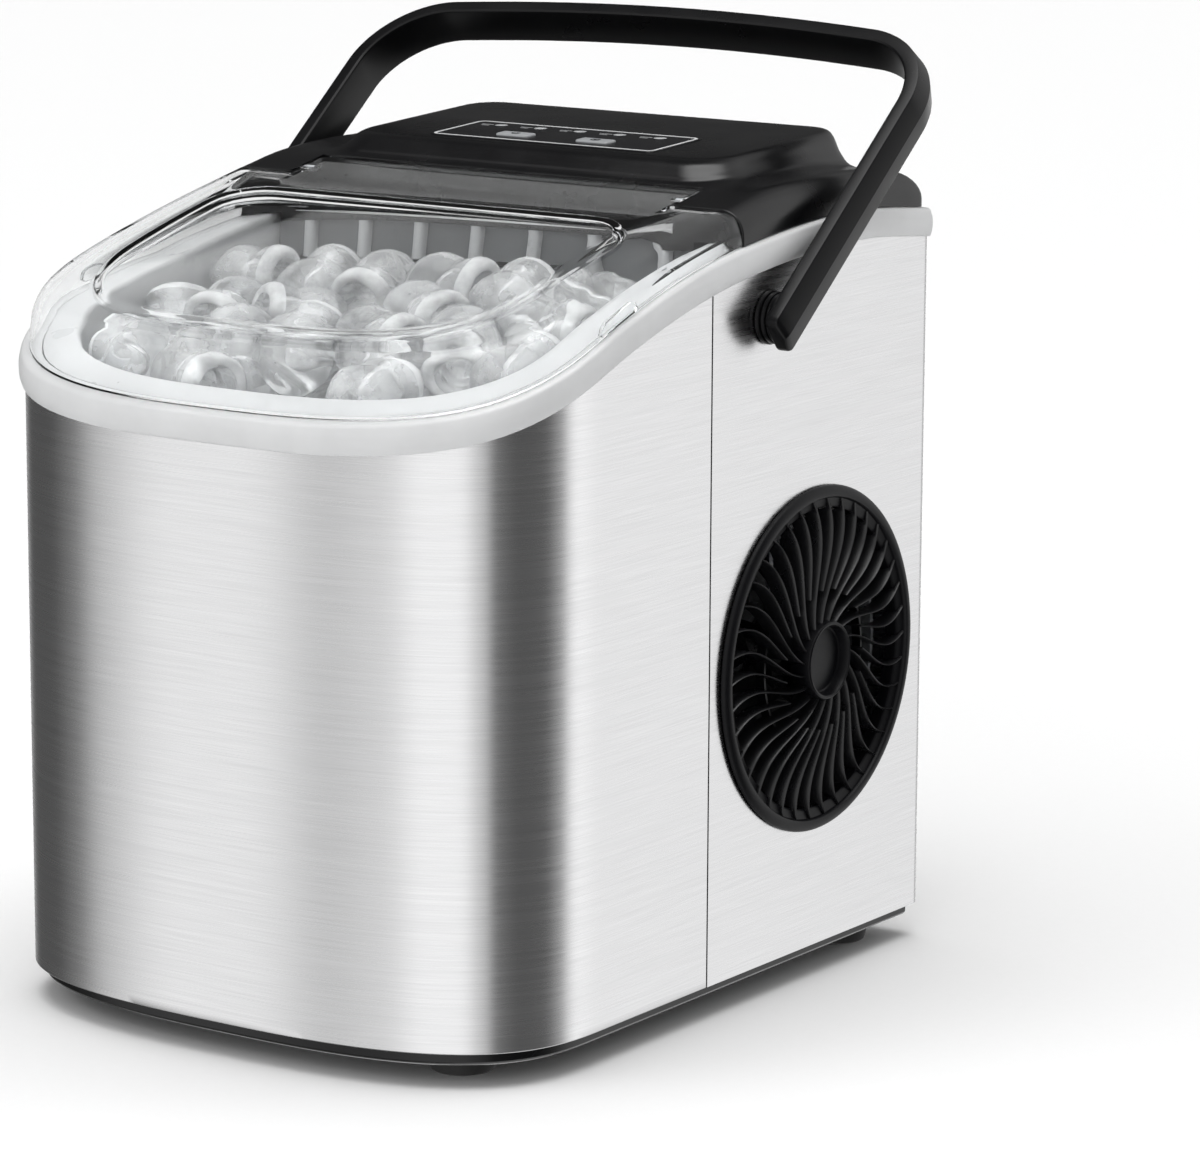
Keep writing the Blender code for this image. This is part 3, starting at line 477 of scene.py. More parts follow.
def moulded(name, colour, roughness, depth, grain=900.0, **sockets):
    """Moulded plastic: fine spark grain and soft handling marks."""
    made = Finish(name, colour, roughness, **sockets)
    marks = made.noise(38.0, detail=4.0)
    made.tint(marks, 0.05)
    made.matt(marks, 0.05)
    made.bump(made.noise(grain, detail=2.0), depth, 0.5)
    return made.mat


def blackish(name, colour, roughness, depth, shine):
    """Black plastic with its specular level."""
    return moulded(name, colour, roughness, depth, Specular_IOR_Level=shine)


def clear_plastic(name, colour, roughness):
    made = Finish(name, colour, roughness, Transmission_Weight=1.0, IOR=1.22)
    made.matt(made.noise(60.0, detail=5.0), 0.012)
    return made.mat


def ice_finish(name, clearest, cloudiest):
    """Ice whose clearness wanders between two transmission weights."""
    made = Finish(name, (0.99, 0.995, 1.0), 0.06, IOR=1.25)
    cloud = made.noise(75.0, detail=4.0, rough=0.6)
    made.link(made.spread(cloud, clearest, cloudiest), made.shader.inputs["Transmission Weight"])
    made.matt(made.noise(160.0), 0.05)
    made.bump(made.noise(140.0), 0.12, 0.5)
    return made.mat


def metal(name, colour, roughness):
    made = Finish(name, colour, roughness, Metallic=1.0)
    wear = made.noise(220.0, detail=4.0)
    made.tint(wear, 0.08)
    made.matt(wear, 0.08)
    made.bump(made.noise(1320.0, detail=2.0), 0.006, 0.4)
    return made.mat


def board_finish():
    """Circuit board: solder mask over faint copper tracks."""
    made = Finish("board_green", (0.02, 0.16, 0.07), 0.35, Coat_Weight=0.3)
    tracks = made.node("ShaderNodeTexBrick", Scale=160.0, Mortar=(0.10, 0.30, 0.12, 1), Mortar_Size=0.05,
                       Color1=(0.02, 0.17, 0.07, 1), Color2=(0.02, 0.14, 0.06, 1))
    coords = made.node("ShaderNodeTexCoord")
    made.link(coords.outputs["Object"], tracks.inputs["Vector"])
    made.link(tracks.outputs["Color"], made.shader.inputs["Base Color"])
    made.matt(made.noise(120.0), 0.08)
    return made.mat


def foam_finish():
    made = Finish("foam_cells", (0.86, 0.86, 0.82), 0.9)
    cells = made.noise(420.0, detail=4.0, rough=0.7)
    made.tint(cells, 0.08)
    made.matt(cells, 0.06)
    made.bump(cells, 0.25, 0.8)
    return made.mat


def make_finishes():
    FINISHES.update({
        "steel": brushed("steel_brushed", (0.70, 0.70, 0.705), 0.27),
        "rim": moulded("rim_white_grey", (0.61, 0.615, 0.62), 0.36, 0.004, Coat_Weight=0.08),
        "liner": moulded("liner_white", (0.50, 0.505, 0.51), 0.32, 0.004),
        "basket": moulded("basket_white", (0.74, 0.76, 0.78), 0.35, 0.006),
        "black": blackish("plastic_black", (0.0025, 0.0025, 0.003), 0.25, 0.005, 0.36),
        "handle": blackish("handle_black", (0.003, 0.003, 0.0035), 0.30, 0.005, 0.20),
        "grille": blackish("grille_black", (0.004, 0.004, 0.005), 0.36, 0.006, 0.14),
        "blade": blackish("blade_black", (0.006, 0.006, 0.007), 0.30, 0.004, 0.45),
        "gloss": blackish("panel_gloss", (0.005, 0.005, 0.006), 0.24, 0.002, 0.30),
        "outline": moulded("panel_outline", (0.60, 0.605, 0.61), 0.4, 0.002),
        "mark": moulded("panel_mark", (0.30, 0.305, 0.31), 0.4, 0.002),
        "key": moulded("key_grey", (0.32, 0.33, 0.34), 0.38, 0.004),
        "lens": moulded("lens_milky", (0.62, 0.63, 0.64), 0.16, 0.002, Coat_Weight=0.6),
        "grey": moulded("plastic_dark_grey", (0.13, 0.135, 0.14), 0.42, 0.010),
        "ledge": moulded("ledge_grey", (0.46, 0.46, 0.46), 0.35, 0.006),
        "rib": moulded("pusher_grey", (0.46, 0.465, 0.47), 0.30, 0.006),
        "rubber": moulded("rubber_black", (0.018, 0.018, 0.018), 0.75, 0.03, grain=500.0),
        "hose": moulded("hose_silicone", (0.72, 0.73, 0.72), 0.45, 0.01, Subsurface_Weight=0.2),
        "clear": clear_plastic("lid_clear", (0.985, 0.993, 0.995), 0.018),
        "ice": ice_finish("ice_clear", 0.92, 0.66),
        "frost": ice_finish("ice_frosted", 0.74, 0.46),
        "zinc": metal("zinc_bright", (0.55, 0.56, 0.58), 0.32),
        "copper": metal("copper_drawn", (0.70, 0.36, 0.21), 0.3),
        "fins": metal("aluminium_mill", (0.74, 0.75, 0.77), 0.38),
        "pot": moulded("compressor_enamel", (0.022, 0.022, 0.025), 0.42, 0.03, grain=300.0),
        "board": board_finish(),
        "foam": foam_finish(),
    })


# ---- housing

def make_steel():
    """The front wrap: one bent sheet with rolled edges."""
    def path(inset):
        side = [(x, y) for x, y in housing_half(inset) if y < SEAM - 2]
        right = [(HALF_WIDTH - inset, SEAM - 0.4), (HALF_WIDTH - inset, SEAM - 0.8)] + side
        return right + [(-x, y) for x, y in reversed(right) if x > 0.001]

    def top(y):
        return rim_bottom(y) + STEEL_LAP

    outer, edge, inner = path(0.0), path(0.25), path(STEEL)
    verts = []
    for (xo, yo), (xe, ye), (xi, yi) in zip(outer, edge, inner):
        verts += [(xo, yo, STEEL_BOTTOM + 0.3), (xo, yo, STEEL_BOTTOM + 3), (xo, yo, top(yo)),
                  (xi, yi, top(yo)), (xi, yi, STEEL_BOTTOM), (xe, ye, STEEL_BOTTOM)]
    faces = skin(len(outer), 6) + caps(len(outer), 6)
    wrapped = solid("steel_front_wrap", verts, faces, "steel", SHELL_EDGE)
    fit(wrapped, "housing", ["front_shell"])


def make_base():
    steps = [(9.0, 6.0), (7.0, 6.3), (4.1, 7.6), (3.5, 8.4), (3.5, 11.5), (1.4, 12.2), (1.2, 12.6),
             (1.2, 24.0), (3.2, 24.0), (5.7, 12.0), (5.7, 9.5)]
    base = loft("base_pan", [loop(housing_half(inset), z) for inset, z in steps], "black")
    fit(base, "housing", ["base_tray"])
    profile = [(0, 0.4), (6.6, 0.4), (7.0, 0.0), (10.0, 0.0), (10.8, 0.5), (11.2, 1.6), (11.7, 5.2),
               (11.4, 5.7), (0, 5.7)]
    for side in ("front_left", "front_right", "rear_left", "rear_right"):
        low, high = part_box("foot_" + side)
        centre = (low + high) / 2 / MM
        where = (centre.x, centre.y - SHIFT, 0)
        foot = turned("rubber_" + side, where, 'Z', profile, "rubber", 40)
        fit(foot, "housing", ["foot_" + side])


def make_rim():
    """A moulded band swept round the housing: its section is (inset, height above the rim's foot)."""
    crown = [(-2.0 + 0.55 * (abs(t - 0.5) * 2) ** 3, 0.9 + 7.4 * t) for t in (0, .15, .35, .5, .65, .85, 1)]
    rounding = [(-1.45 + 1.6 * (1 - cos(a)), 8.3 + 1.7 * sin(a)) for a in (0.4, 0.8, 1.2, pi / 2)]
    section = [(-0.9, 0.05), (-1.3, 0.3)] + crown + rounding
    section += [(5.6, RIM_HEIGHT), (6.0, 9.6), (6.0, 4.0), (-0.3, 4.0), (-0.3, 0.05)]
    loops = [loop(housing_half(inset), lambda y, dz=dz: rim_bottom(y) + dz) for inset, dz in section]
    rim = loft("rim_band", loops, "rim", closed=True, angle=50)
    fit(rim, "housing", ["rim"])


def make_tank():
    def at_rim(drop):
        return lambda y: rim_top(y) - drop

    outer, well, back = TANK_INSET - 1.5, WELL_BACK + 1.5, TANK_BACK + 1.5
    walls = [(outer, well, 50.0), (outer, well, 165.0), (outer, back, 168.0), (outer, back, at_rim(2.4)),
             (6.3, TANK_BACK + 7.5, at_rim(2.4)), (6.3, TANK_BACK + 7.5, at_rim(0.2)),
             (TANK_INSET - 1.8, TANK_BACK + 1.8, at_rim(0.2)),
             (TANK_INSET - 0.9, TANK_BACK + 0.9, at_rim(0.5)),
             (TANK_INSET - 0.2, TANK_BACK + 0.2, at_rim(1.4)), (TANK_INSET, TANK_BACK, at_rim(2.6)),
             (TANK_INSET, TANK_BACK, 170.0), (TANK_INSET, WELL_BACK, 167.0), (TANK_INSET, WELL_BACK, 54.0),
             (TANK_INSET + 2, WELL_BACK - 2, 52.0)]
    tank = loft("tank_shell", [well_ring(*wall) for wall in walls], "liner", angle=SHELL_EDGE)
    sensor_way = [(0, -3), (3.5, -3), (3.5, 5), (0, 5)]
    shaft_way = [(0, -4), (3.2, -4), (3.2, 4), (0, 4)]
    holes = [turned("hole", (x, TANK_BACK, 232), 'Y', sensor_way, "liner", 20) for x in (-40, 40)]
    holes.append(turned("hole", (HALF_WIDTH - TANK_INSET, *TRAY_AXIS), 'X', shaft_way, "liner", 20))
    combine(tank, join("holes", holes))
    bearing = turned("bearing", (TANK_INSET - HALF_WIDTH, *TRAY_AXIS), 'X',
                     [(3.1, -0.5), (6, -0.5), (6, 4.5), (3.1, 4.5)], "liner", 24)
    combine(tank, bearing, 'UNION')
    fit(tank, "housing", ["tank_liner"])


def make_basket():
    def lip(rise):
        return lambda y: min(rim_bottom(y) - 4.0, 216.0) + rise

    walls = [(26.5, 1.0, 62.0), (24.7, 2.8, 62.8), (24.4, 3.1, 65.0), (21.5, 5.0, lip(0)),
             (20.2, 6.3, lip(0.1)), (20.0, 6.5, lip(0.6)), (20.2, 6.3, lip(1.8)), (21.0, 5.5, lip(2.0)),
             (22.8, 3.8, lip(1.9)), (23.2, 3.4, lip(1.2)), (26.3, 1.4, 66.0), (28.0, -0.4, 64.2)]
    basket = loft("basket_shell", [well_ring(*wall) for wall in walls], "basket", angle=SHELL_EDGE)
    slots = [box("slot", (-30, -96 + 14 * i, 58), (30, -91 + 14 * i, 68), "basket") for i in range(6)]
    slots.append(box("way", (-95, -3, 199), (95, 12, 225), "basket"))
    combine(basket, join("slots", slots))
    fit(basket, "ice_basket", ["ice_basket"])


def make_pusher():
    """The ice shovel: a dark plate with pale ribs down its front, and the comb that it hangs under."""
    def row(name, y, radius, back, low, high):
        ribs = []
        for i in range(COMB_COUNT):
            outline = arc((COMB_PITCH * (i - COMB_COUNT // 2), y), radius, 180, 360, 12 if back else 10)
            if back:
                outline += [(outline[0][0] + 2 * radius, back), (outline[0][0], back)]
            ribs.append(extruded(name, outline, 'Z', low, high, "rib"))
        return ribs

    y, z = SHOVEL_AXIS
    blade = [(y - 1, z - 31.5), (y - 0.6, z - 32), (y + 0.6, z - 32), (y + 1, z - 31.5)]
    blade += arc((y, z), 2.5, -66, 246, 24)
    pusher = extruded("pusher_plate", blade, 'X', -86, 86, "grey")
    fit(pusher, "ice_shovel", ["ice_shovel"])
    fit(join("pusher_ribs", row("rib", y - 1.2, 2.2, None, z - 31, z - 3.4)), "ice_shovel")

    wall = [(18.6, z + 4.2), (19.8, z + 4.2), (19.8, CEILING - 0.05), (18.6, CEILING - 0.05)]
    fit(extruded("comb_wall", wall, 'X', -91, 91, "grey"), "housing")
    pillars = row("pillar", 17.2, 2.4, 18.55, z + 4.4, CEILING - 0.1)
    fit(join("comb_pillars", pillars), "housing")


def make_grille():
    y0, z0 = FAN
    centre = (0, y0, z0)
    ring = [(52.4, 106.2), (53.6, 106.2), (53.6, 110.3), (60.2, 110.3), (60.4, 110.7), (60.3, 111.2),
            (59.9, 111.9), (59.2, 112.4), (58.2, 112.75), (57.1, 112.8), (56.4, 112.5), (56.0, 111.9),
            (55.9, 111.2), (55.5, 110.9), (53.4, 110.7), (52.6, 110.2), (52.4, 109.2)]
    hub = [(0, 107.6), (13.0, 107.6), (13.4, 108.2), (13.6, 110), (13.6, 115.4), (13.4, 115.9),
           (12.9, 116.2), (12.3, 116.0), (11.9, 115.2), (11.5, 112.6), (11.0, 112.2), (0, 112.4)]
    collar = [(30.6, 105.8), (31.6, 105.8), (31.6, 109.2), (30.6, 109.2)]
    parts = [turned("ring", centre, 'X', ring, "grille", 128),
             turned("hub", centre, 'X', hub, "grille", 64),
             turned("collar", centre, 'X', collar, "grille", 96)]

    def rib(start, base, stations):
        """A blade-like rib from a radius to the ring; its line bends once each way."""
        verts = []
        for k in range(stations + 1):
            t = k / stations
            radius = start + (RIB_REACH - start) * t
            share = max(radius - RIB_ROOT, 0.0) / (RIB_REACH - RIB_ROOT)
            turn = base + RIB_SWEEP * (1 - share) ** 2 - RIB_SWAY * sin(pi * share)
            front = RIB_CREST - RIB_DROP * share ** 1.6
            foot = max(front - RIB_DEPTH, RIB_BACK) if radius < RIM_SEAT[0] else RIM_SEAT[1]
            for x, side in ((foot, -RIB_HALF), (front - 0.35, -RIB_HALF * 0.8), (front, 0.0),
                            (front - 0.35, RIB_HALF * 0.8), (foot, RIB_HALF)):
                angle = turn + side / radius
                verts.append((x, y0 + radius * cos(angle), z0 + radius * sin(angle)))
        faces = skin(stations + 1, 5) + caps(stations + 1, 5)
        return solid("rib", verts, faces, "blade", 60)

    blades = []
    for i in range(RIBS):
        base = 2 * pi * i / RIBS
        blades.append(rib(24.5, base, 20) if i % 2 else rib(12.8, base, 28))
    fit(join("grille_ring", parts), "housing", ["fan_grille"])
    fit(join("grille_blades", blades), "housing")


# ---- top cover and controls

def blend_rows(rows, steps):
    """Rows in between, on a smooth curve through the given ones."""
    made = []
    for i in range(len(rows) - 1):
        a, b, c, d = rows[max(i - 1, 0)], rows[i], rows[i + 1], rows[min(i + 2, len(rows) - 1)]
        for k in range(steps):
            t = k / steps
            made.append(tuple(0.5 * (2 * q + (r - p) * t + (2 * p - 5 * q + 4 * r - s) * t * t
                                     + (3 * q - p - 3 * r + s) * t ** 3)
                              for p, q, r, s in zip(a, b, c, d)))
    return made + [rows[-1]]


def make_cover():
    def height(share, drop=0.0):
        return lambda y: shoulder(y) + share * (platform(y) - shoulder(y)) - drop

    def above_rim(y):
        return rim_top(y) + 0.3

    # half width, front, rear, front corner, rear corner, share of the platform's height, drop
    rounding = []
    for k in range(9):
        out, up = cos(pi / 2 * k / 8), sin(pi / 2 * k / 8)
        rounding.append((99.8 + 9 * out, 15, 129.2 + 4 * out, 0.6, 11 - 6 * out, 0.0, 9 * (1 - up)))
    rise = [(99.8, 15, 129.2, 0.6, 11, 0.0, 0.0), (87.6, 34.2, 128.5, 16, 14, 0.03, 0.0),
            (82.4, 38.5, 127.8, 16, 13, 0.35, 0.0), (79.4, 42, 127, 15, 12, 0.78, 0.0),
            (77.0, 45.4, 125.8, 14, 11, 0.965, 0.0), (73.5, 49, 122.5, 12, 9, 1.0, 0.0)]
    rows = rounding[:-1] + blend_rows(rise, 5)
    loops = [loop(block_half(108.8, 15, 133.2, 0.6, 5), above_rim)]
    for half, front, rear, fc, rc, share, drop in rows:
        loops.append(loop(block_half(half, front, rear, max(fc, 0.6), rc), height(share, drop)))
    cover = loft("cover_shell", loops, "black", angle=SHELL_EDGE)

    hollow = [(106.2, 37.5, 130.6, 1, 3, lambda y: rim_top(y) - 4), (106.2, 37.5, 130.6, 1, 3, height(0, 13)),
              (97, 38.5, 127, 4, 8, height(0, 2.8)), (81, 42, 125.4, 10, 10, height(0, 2.6)),
              (74, 48, 123, 10, 8, height(1, 3.4))]
    tool = loft("hollow", [loop(block_half(*block), z) for *block, z in hollow], "black")
    combine(cover, tool)
    combine(cover, box("notch", (-81.2, 10, 250), (81.2, 34.6, 300), "black"))
    ceiling = [(15.2, CEILING), (37.2, CEILING), (37.2, 265.6), (34.4, 265.6), (34.4, 262.4), (15.2, 262.4)]
    combine(cover, extruded("ceiling", ceiling, 'X', -88, 88, "black"), 'UNION')

    half, front, rear = PANEL
    bore = [(0, 79), (1.9, 79), (1.9, 86.6), (0, 86.6)]
    tools = [turned("pin_way", (0, *HINGE), 'X', [(r, side * x) for r, x in bore], "black", 24)
             for side in (-1, 1)]
    tools.append(plate("recess", half + 0.3, front - 0.3, rear + 0.3, 3.3, [(0, -1.0), (0, 3.0)], "black"))
    combine(cover, join("cover_cuts", tools))
    combine(cover, control_wells())
    fit(cover, "housing", ["top_cover"])
    ledge = [(15.6, 262.45), (34.0, 262.45), (34.2, 262.7), (34.2, 263.3), (33.9, 263.5), (15.9, 263.5),
             (15.6, 263.2)]
    fit(extruded("cover_ledge", ledge, 'X', -86, 86, "ledge"), "housing")


def plate_ring(half, front, rear, corner, inset, level):
    """Outline of a plate that lies on the platform's slope."""
    corner -= min(inset, corner - 0.3)
    outline = block_half(half - inset, front + inset, rear - inset, corner, corner, sides=3)
    return loop(outline, lambda y: platform(y) + level)


def plate(name, half, front, rear, corner, steps, finish, x=0.0, angle=EDGE):
    """A rounded plate on the platform's slope, from (inset, level) steps."""
    loops = []
    for inset, level in steps:
        ring = plate_ring(half, front, rear, corner, inset, level)
        loops.append([(px + x, py, pz) for px, py, pz in ring])
    return loft(name, loops, finish, angle=angle)


def led_places():
    return [LED_PITCH * (i - LED_COUNT // 2) for i in range(LED_COUNT)]


def control_wells():
    way = [(0, -9.0), (0, 3.0)]
    wells = [plate("well", 7.3, BUTTON_Y - 3.5, BUTTON_Y + 3.5, 1.8, way, "black", x)
             for x in (-BUTTON_X, BUTTON_X)]
    wells += [plate("well", 1.8, LED_Y - 1.8, LED_Y + 1.8, 1.7, way, "black", x) for x in led_places()]
    return join("wells", wells)


def make_panel():
    half, front, rear = PANEL
    panel = plate("panel_face", half, front, rear, 3.0, [(0, -0.7), (0, 0.1), (0.25, 0.3)], "gloss")
    combine(panel, control_wells(), angle=EDGE)
    fit(panel, "housing", ["control_panel"])

    line = [plate_ring(47.0, 52.1, 83.4, 3.2, inset, level)
            for inset, level in ((0, 0.22), (0, 0.36), (1.15, 0.36), (1.15, 0.22))]
    fit(loft("panel_line", line, "outline", closed=True), "housing")

    marks = []
    for x in led_places():
        for half, y in ((2.6, LED_Y + 0.2), (1.7, LED_Y - 1.5)):
            steps = [(0, 0.26), (0, 0.34)]
            marks.append(plate("mark", half, y - 0.35, y + 0.35, 0.3, steps, "mark", x - 6.0))
    fit(join("panel_marks", marks), "housing")

    for side, x in (("left", -BUTTON_X), ("right", BUTTON_X)):
        key = plate("key_" + side, 7.0, BUTTON_Y - 3.2, BUTTON_Y + 3.2, 1.5,
                    [(0, -5.0), (0, 0.45), (0.12, 0.7), (0.45, 0.87), (1.0, 0.9)], "key", x, 50)
        fit(key, "button_" + side, ["button_" + side])
    fit(power_mark(-BUTTON_X), "button_left")
    fit(cube_mark(BUTTON_X), "button_right")

    dome = [(0, -5.0), (1.5, -5.0), (1.5, 0.32), (2.3, 0.33), (2.35, 0.42), (2.0, 0.52), (1.0, 0.58),
            (0, 0.6)]
    for i, x in enumerate(led_places(), 1):
        lens = turned("lens_%d" % i, (x, LED_Y, platform(LED_Y)), 'Z', dome, "lens", 24, 50)
        fit(lens, "housing", ["indicator_lens_%d" % i])


def power_mark(x):
    """The usual on and off sign: an open ring with a bar."""
    z = platform(BUTTON_Y) + 0.9
    ring = [(x + 1.5 * sin(a), BUTTON_Y + 1.5 * cos(a), z)
            for a in (radians(35 + 290 * k / 20) for k in range(21))]
    bar = [(x, BUTTON_Y + 0.5, z), (x, BUTTON_Y + 1.9, z)]
    return join("mark_power", [rod("line", path, 0.16, "gloss") for path in (ring, bar)])


def cube_mark(x):
    """An ice cube in outline."""
    z = platform(BUTTON_Y) + 0.9
    hexagon = [(x + 1.8 * sin(a), BUTTON_Y + 1.8 * cos(a), z)
               for a in (radians(60 * k) for k in range(6))]
    lines = [rod("edge", hexagon, 0.15, "gloss", closed=True)]
    lines += [rod("edge", [(x, BUTTON_Y, z), corner], 0.15, "gloss") for corner in hexagon[1::2]]
    return join("mark_cube", lines)


# ---- lid

def make_lid():
    t = LID_WALL

    def side(inset, height, rear=TONGUE_REAR):
        return loop(nose_half(HALF_WIDTH - inset, rear, 1.0, NOSE_DEPTH - inset), height)

    def under_side(inset, height):
        return side(inset + t, height, TONGUE_REAR - t)

    def ridge(grow, height):
        half, depth, back, corner = RIDGE
        return loop(nose_half(half + grow, back + grow, corner + grow, depth + grow), height)

    def wall(share):
        return lambda y: rim_top(y) + 0.4 + share * (lid_crest(y) - rim_top(y) - 0.4)

    def crest(rise):
        return lambda y: lid_crest(y) + rise

    step = [(-2.4, 1.0), (-1.3, 0.99), (-0.6, 0.93), (0.0, 0.80), (0.35, 0.62), (0.55, 0.40), (0.8, 0.18),
            (1.3, 0.05), (2.2, 0.0)]
    outside = [ridge(grow, crest(RIDGE_STEP * share)) for grow, share in step]
    outside += [side(inset, crest(-drop)) for inset, drop in
                ((9.5, 0.0), (7.4, 0.35), (5.8, 1.1), (4.6, 2.1), (3.6, 3.4), (2.9, 5.0), (2.3, 6.8))]
    outside += [side(1.7, wall(0.30)), side(1.35, wall(0.06)), side(1.6, wall(0.0))]
    inside = [under_side(0.9, wall(0.0)), under_side(1.2, wall(0.05)), under_side(1.6, wall(0.28))]
    inside += [under_side(inset, crest(-drop)) for inset, drop in
               ((2.9, 7.4), (3.5, 5.6), (4.4, 4.2), (5.6, 3.2), (7.0, 2.6), (9.0, 2.2))]
    inside += [ridge(grow, crest(RIDGE_STEP * share - t)) for grow, share in
               ((-0.6, 0.0), (-1.3, 0.1), (-1.7, 0.35), (-2.0, 0.7), (-2.6, 0.93), (-3.6, 1.0))]
    lid = loft("lid_shell", outside + inside, "clear", angle=SHELL_EDGE)
    cuts = [box("side", (side_x, LID_REAR, 240), (side_x + 40, 50, 300), "clear")
            for side_x in (-TONGUE_HALF - 40, TONGUE_HALF)]
    combine(lid, join("cuts", cuts))
    combine(lid, box("under", (-100, 6, 240), (100, 50, 268.6), "clear"))
    top = [(y, lid_crest(y) - 1.0) for y in (30.0, 24.0, 16.0, 9.0)]
    cheeks = [extruded("cheek", [(9.0, 268.8), (30.0, 268.8)] + top, 'X', x, x + 2.2, "clear")
              for x in (-TONGUE_HALF + 0.1, TONGUE_HALF - 2.3)]
    combine(lid, join("cheeks", cheeks), 'UNION')
    holes = [turned("hole", (side_x, *HINGE), 'X', [(0, -5), (1.9, -5), (1.9, 5), (0, 5)], "clear", 24)
             for side_x in (-TONGUE_HALF, TONGUE_HALF)]
    combine(lid, join("pin_holes", holes))
    fit(lid, "lid", ["lid"])
    catch = [(y, rim_top(y) + lift) for y, lift in ((-69, 2.6), (-67.6, 1.4), (-50, 1.4), (-48.4, 2.6),
                                                   (-50, 4.8), (-52, 5.4), (-66, 5.4), (-68, 4.6))]
    catches = [extruded("catch", catch, 'X', x, x + 1.6, "clear") for x in (-109.5, 107.9)]
    fit(join("lid_catches", catches), "lid")


# ---- handle

def handle_point(x, reach, lift):
    c, s = cos(HANDLE_LEAN), sin(HANDLE_LEAN)
    return (x, PIVOT[0] + reach * c - lift * s, PIVOT[1] + reach * s + lift * c)


def make_handle():
    centre = HANDLE_HALF - HANDLE_THICK / 2
    top = HANDLE_REACH - HANDLE_THICK / 2
    knee = centre - HANDLE_BEND
    bend = arc((knee, top - HANDLE_BOW * 0.85 - HANDLE_BEND), HANDLE_BEND, 0, 84, 28)
    half = [(centre, s) for s in (-9.0, -8.8, -8.3, -7.5, -6.4, -2.0, 6.0, 15.0, 30.0, 50.0, 75.0)] + bend
    half += [(x, top - HANDLE_BOW * (x / 95.0) ** 2) for x in (78.0, 65.0, 52.0, 39.0, 26.0, 13.0, 0.0)]
    path = half + [(-x, s) for x, s in reversed(half[:-1])]

    inner, outer, edge = -HANDLE_THICK / 2, HANDLE_THICK / 2, HANDLE_DEPTH / 2
    near = [(inner, -edge + 1.2), (inner + 0.25, -edge + 0.45), (inner + 0.9, -edge), (outer - 2.0, -edge),
            (outer - 1.35, -edge + 0.2), (outer - 1.05, -edge + 0.7), (outer + 0.5, -0.35)]
    section = near + [(outer + 0.6, 0.0)] + [(n, -lift) for n, lift in reversed(near)]
    verts = []
    for k, (x, s) in enumerate(path):
        before, after = path[max(k - 1, 0)], path[min(k + 1, len(path) - 1)]
        along = Vector((after[0] - before[0], after[1] - before[1])).normalized()
        out = Vector((along.y, -along.x))
        tip = min(k, len(path) - 1 - k)
        trim = (0.60, 0.76, 0.88, 0.96, 1.0)[min(tip, 4)]
        for n, lift in section:
            verts.append(handle_point(x + out.x * n * trim, s + out.y * n * trim, lift * trim))
    faces = skin(len(path), len(section)) + caps(len(path), len(section))
    handle = solid("bail", verts, faces, "handle", 50)

    def on_pivot(name, sign, profile, steps):
        return turned(name, (0, *PIVOT), 'X', [(r, sign * x) for r, x in profile], "handle", steps)

    end = [(0, 114.3), (8.0, 114.3), (8.4, 114.5), (8.4, 115.3), (8.0, 115.6), (7.4, 116.4), (7.2, 118.0),
           (0, 118.4)]
    bore = [(0, 110), (3.3, 110), (3.3, 118.4), (0, 118.4)]
    ends = [on_pivot("end", sign, end, 48) for sign in (-1, 1)]
    holes = [on_pivot("bore", sign, bore, 24) for sign in (-1, 1)]
    combine(handle, join("ends", ends), 'UNION', 30)
    combine(handle, join("bores", holes), angle=30)
    fit(handle, "handle", ["handle"])
    boss = [(3.3, 110.3), (8.9, 110.3), (9.2, 110.5), (9.2, 111.5), (8.9, 111.8), (8.0, 111.9), (8.0, 112.4),
            (8.6, 112.5), (8.8, 112.7), (8.8, 113.6), (8.5, 113.9), (7.4, 114.0), (3.3, 114.0)]
    for side, sign in (("left", -1), ("right", 1)):
        fit(on_pivot("boss_" + side, sign, boss, 48), "housing", ["pivot_boss_" + side])


# ---- ice

DOME, MOUTH, SPACING = 12.8, 13.0, 11.5     # a piece of ice packs as two balls this far apart
FROST_ROWS = (14, 18)                       # the white ring round a piece's open end
SINK = 5.0                                  # pieces pressed deeper into another than this are left out
OPEN_WAY = (0.45, -0.80, 0.30)              # most pieces show their open end this way
ICE_REAR = -4.0                             # the heap stays in front of the pusher's swing
DOME_FIRST = 0.25                           # share of the pieces turned the other way round
ICE_SIDES = 26
SETTLE_STEPS = 330
ROOF_FROM = 0.7                             # share of the steps before the lid holds the heap down
BASKET_FOOT, BASKET_RISE = 64.0, 150.0      # the basket's wall leans outwards over this height
BASKET_LIP = 222.0                          # above this only the tank's wall holds the ice


